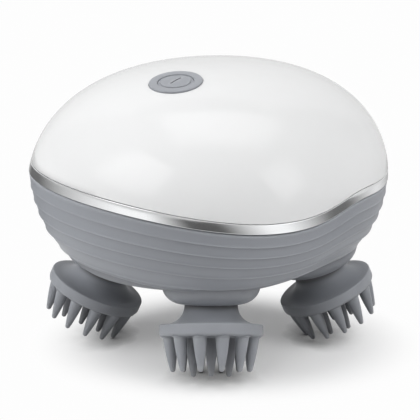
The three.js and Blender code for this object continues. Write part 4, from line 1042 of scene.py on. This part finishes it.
# %% Lamps
LAMP_DISTANCE = 0.6
LAMP_AIM = Vector((0, 0, 0.06))
LAMPS = {
    # name: (degrees to the camera's right, elevation, width, height, watts)
    "left": (-45, 38, 0.7, 0.5, 1.05),
    "left_side": (-80, 30, 0.5, 0.5, 2.2),
    "right": (62, 50, 0.4, 0.4, 2.2),
    "right_low": (60, 12, 0.4, 0.3, 0.3),
    "back": (180, 30, 0.8, 0.5, 0.6),
}


def around(turn, rise, distance=LAMP_DISTANCE):
    """A place round the object: degrees to the camera's right, elevation in degrees and distance."""
    return LAMP_AIM + towards(CAMERA_AZIMUTH + turn, math.radians(rise)) * distance


for name, (turn, rise, wide, tall, watts) in LAMPS.items():
    bpy.ops.object.light_add(type="AREA")
    lamp = bpy.context.object
    lamp.name = f"lamp_{name}"
    lamp.data.shape, lamp.data.size, lamp.data.size_y = "RECTANGLE", wide, tall
    lamp.data.energy = watts
    lamp.visible_glossy = False
    aimed(lamp, around(turn, rise), LAMP_AIM)
    print(lamp.name, [round(x, 3) for x in lamp.location])

# %% [markdown]
# A glossy cover and a bright metal strip show what stands around them. So the studio is built
# for reflections alone: three softboxes, the dim room on the camera's side of the white sweep,
# and a ring on the floor. Each is a sheet whose brightness is an attribute. Only reflections see
# them, so they take no light off the object and never show in the picture.

# %% Reflectors
def reflector(name, columns, rows, place, shade):
    """A sheet that only reflections see. place and shade take shares along it and up it, from 0 to 1."""
    bpy.ops.object.select_all(action="DESELECT")
    bpy.ops.mesh.primitive_grid_add(x_subdivisions=columns, y_subdivisions=rows, size=1)
    sheet = bpy.context.object
    sheet.name = f"reflector_{name}"
    shades = sheet.data.attributes.new("shade", "FLOAT", "POINT")
    for vertex, value in zip(sheet.data.vertices, shades.data):
        along, up = vertex.co.x + 0.5, vertex.co.y + 0.5
        value.value = shade(along, up)
        vertex.co = place(along, up)
    dress(sheet, glowing)
    sheet.visible_camera = sheet.visible_diffuse = sheet.visible_shadow = sheet.visible_transmission = False


glowing, tree, _ = new_material("reflector glow")
surface(tree, new_node(tree, "Emission", {"Strength": attribute(tree, "shade")}))

# %% Softboxes and room
SOFTBOXES = {  # strength, then corners as degrees to the camera's right and elevation
    "left": (2.3, ((-61, 58), (-10, 43), (-20, 12), (-72, 22))),
    "right": (2.1, ((69, 37), (70, 9), (52, -2), (43, 31))),
    "top": (1.9, ((-137, 69), (113, 55), (61, 48), (-20, 67))),
}
SOFTBOX_ROWS = 12
for name, (strength, corners) in SOFTBOXES.items():
    a, b, c, d = [around(turn, rise) for turn, rise in corners]
    reflector(name, SOFTBOX_ROWS, SOFTBOX_ROWS,
              lambda u, v: (a * (1 - u) + b * u) * (1 - v) + (d * (1 - u) + c * u) * v,
              lambda u, v: strength * (1 - (u - 0.5) ** 2 - (v - 0.5) ** 2))  # half as bright in corners

# %% Room
ROOM_SHEETS = {  # name: (columns, rows, from, to, in degrees to the camera's right, lowest elevation)
    "room": (48, 16, -132, 134, -8),
    "ceiling": (24, 8, 134, 228, 58),
}
ROOM_DISTANCE, ROOM_LEVEL = 0.9, 0.6
for name, (columns, rows, start, end, low) in ROOM_SHEETS.items():
    reflector(name, columns, rows, lambda u, v: around(
        start + (end - start) * u, low + (90 - low) * v, ROOM_DISTANCE), lambda u, v: ROOM_LEVEL)

# %% [markdown]
# Behind the object the paper curves up into a wall, a little brighter towards its top. Its
# reflection in the cover is the pale field along the upper edge.

# %% Sweep behind the object
SWEEP_PATH = (  # distance from the middle, height, brightness, from the floor up the curved wall
    (0.25, 0.0005, 0.72), (0.45, 0.0005, 0.72), (0.7, 0.02, 0.72), (0.84, 0.12, 0.74), (0.89, 0.28, 0.8),
    (0.84, 0.5, 0.88), (0.7, 0.68, 0.95), (0.54, 0.8, 0.97),
)
SWEEP_FROM, SWEEP_TO, SWEEP_COLUMNS = 100, 260, 40
path = np.array(SWEEP_PATH)
rows = len(SWEEP_PATH) - 1


def sweep_place(along, up):
    out, high = path[round(up * rows), :2]
    spot = towards(CAMERA_AZIMUTH + SWEEP_FROM + (SWEEP_TO - SWEEP_FROM) * along) * out
    spot.z = high
    return spot


reflector("sweep", SWEEP_COLUMNS, rows, sweep_place, lambda along, up: path[round(up * rows), 2])

# %% [markdown]
# The trim stands upright and is seen from a little above, so it mirrors the floor round the
# object. In the photograph it is bright with soft dark stretches. A ring-shaped sheet, raised at
# its outer edge where the trim is bright higher up too, carries that pattern all round.

# %% Ring round the object
DARK_STRETCHES = (  # degrees to the camera's right: fades in, full, still full, faded out; darkness
    (-170, -142, -120, -42, 0.85),
    (-25, -1, 16, 42, 0.9),
    (50, 78, 92, 122, 0.85),
    (108, 152, 160, 188, 0.62),
)
RING_TOPS = ((-155, -107, -72, -45, 5), (0.012, 0.09, 0.11, 0.1, 0.012))  # turns, heights
RING_FARS = ((-60, -20, 85, 100, 160, 188), (0.36, 0.6, 0.6, 0.24, 0.24, 0.36))  # turns, radii
RING_START, RING_NEAR, RING_LOW, RING_COLUMNS, RING_ROWS = -172, 0.1, 0.001, 120, 2


def ring_place(along, up):
    """The ring's inner edge, its outer edge and the top of its raised rim, as up goes from 0 to 1."""
    turn, row = RING_START + 360 * along, round(up * RING_ROWS)
    out = float(np.interp(turn, *RING_FARS)) if row else RING_NEAR
    spot = towards(CAMERA_AZIMUTH + turn) * out
    spot.z = float(np.interp(turn, *RING_TOPS)) if row == RING_ROWS else RING_LOW
    return spot


def ring_shade(along, up):
    shade = 1.0
    for *ends, dark in DARK_STRETCHES:
        shade *= 1 - dark * float(np.interp(RING_START + 360 * along, ends, (0, 1, 1, 0)))
    return shade


reflector("ring", RING_COLUMNS, RING_ROWS, ring_place, ring_shade)
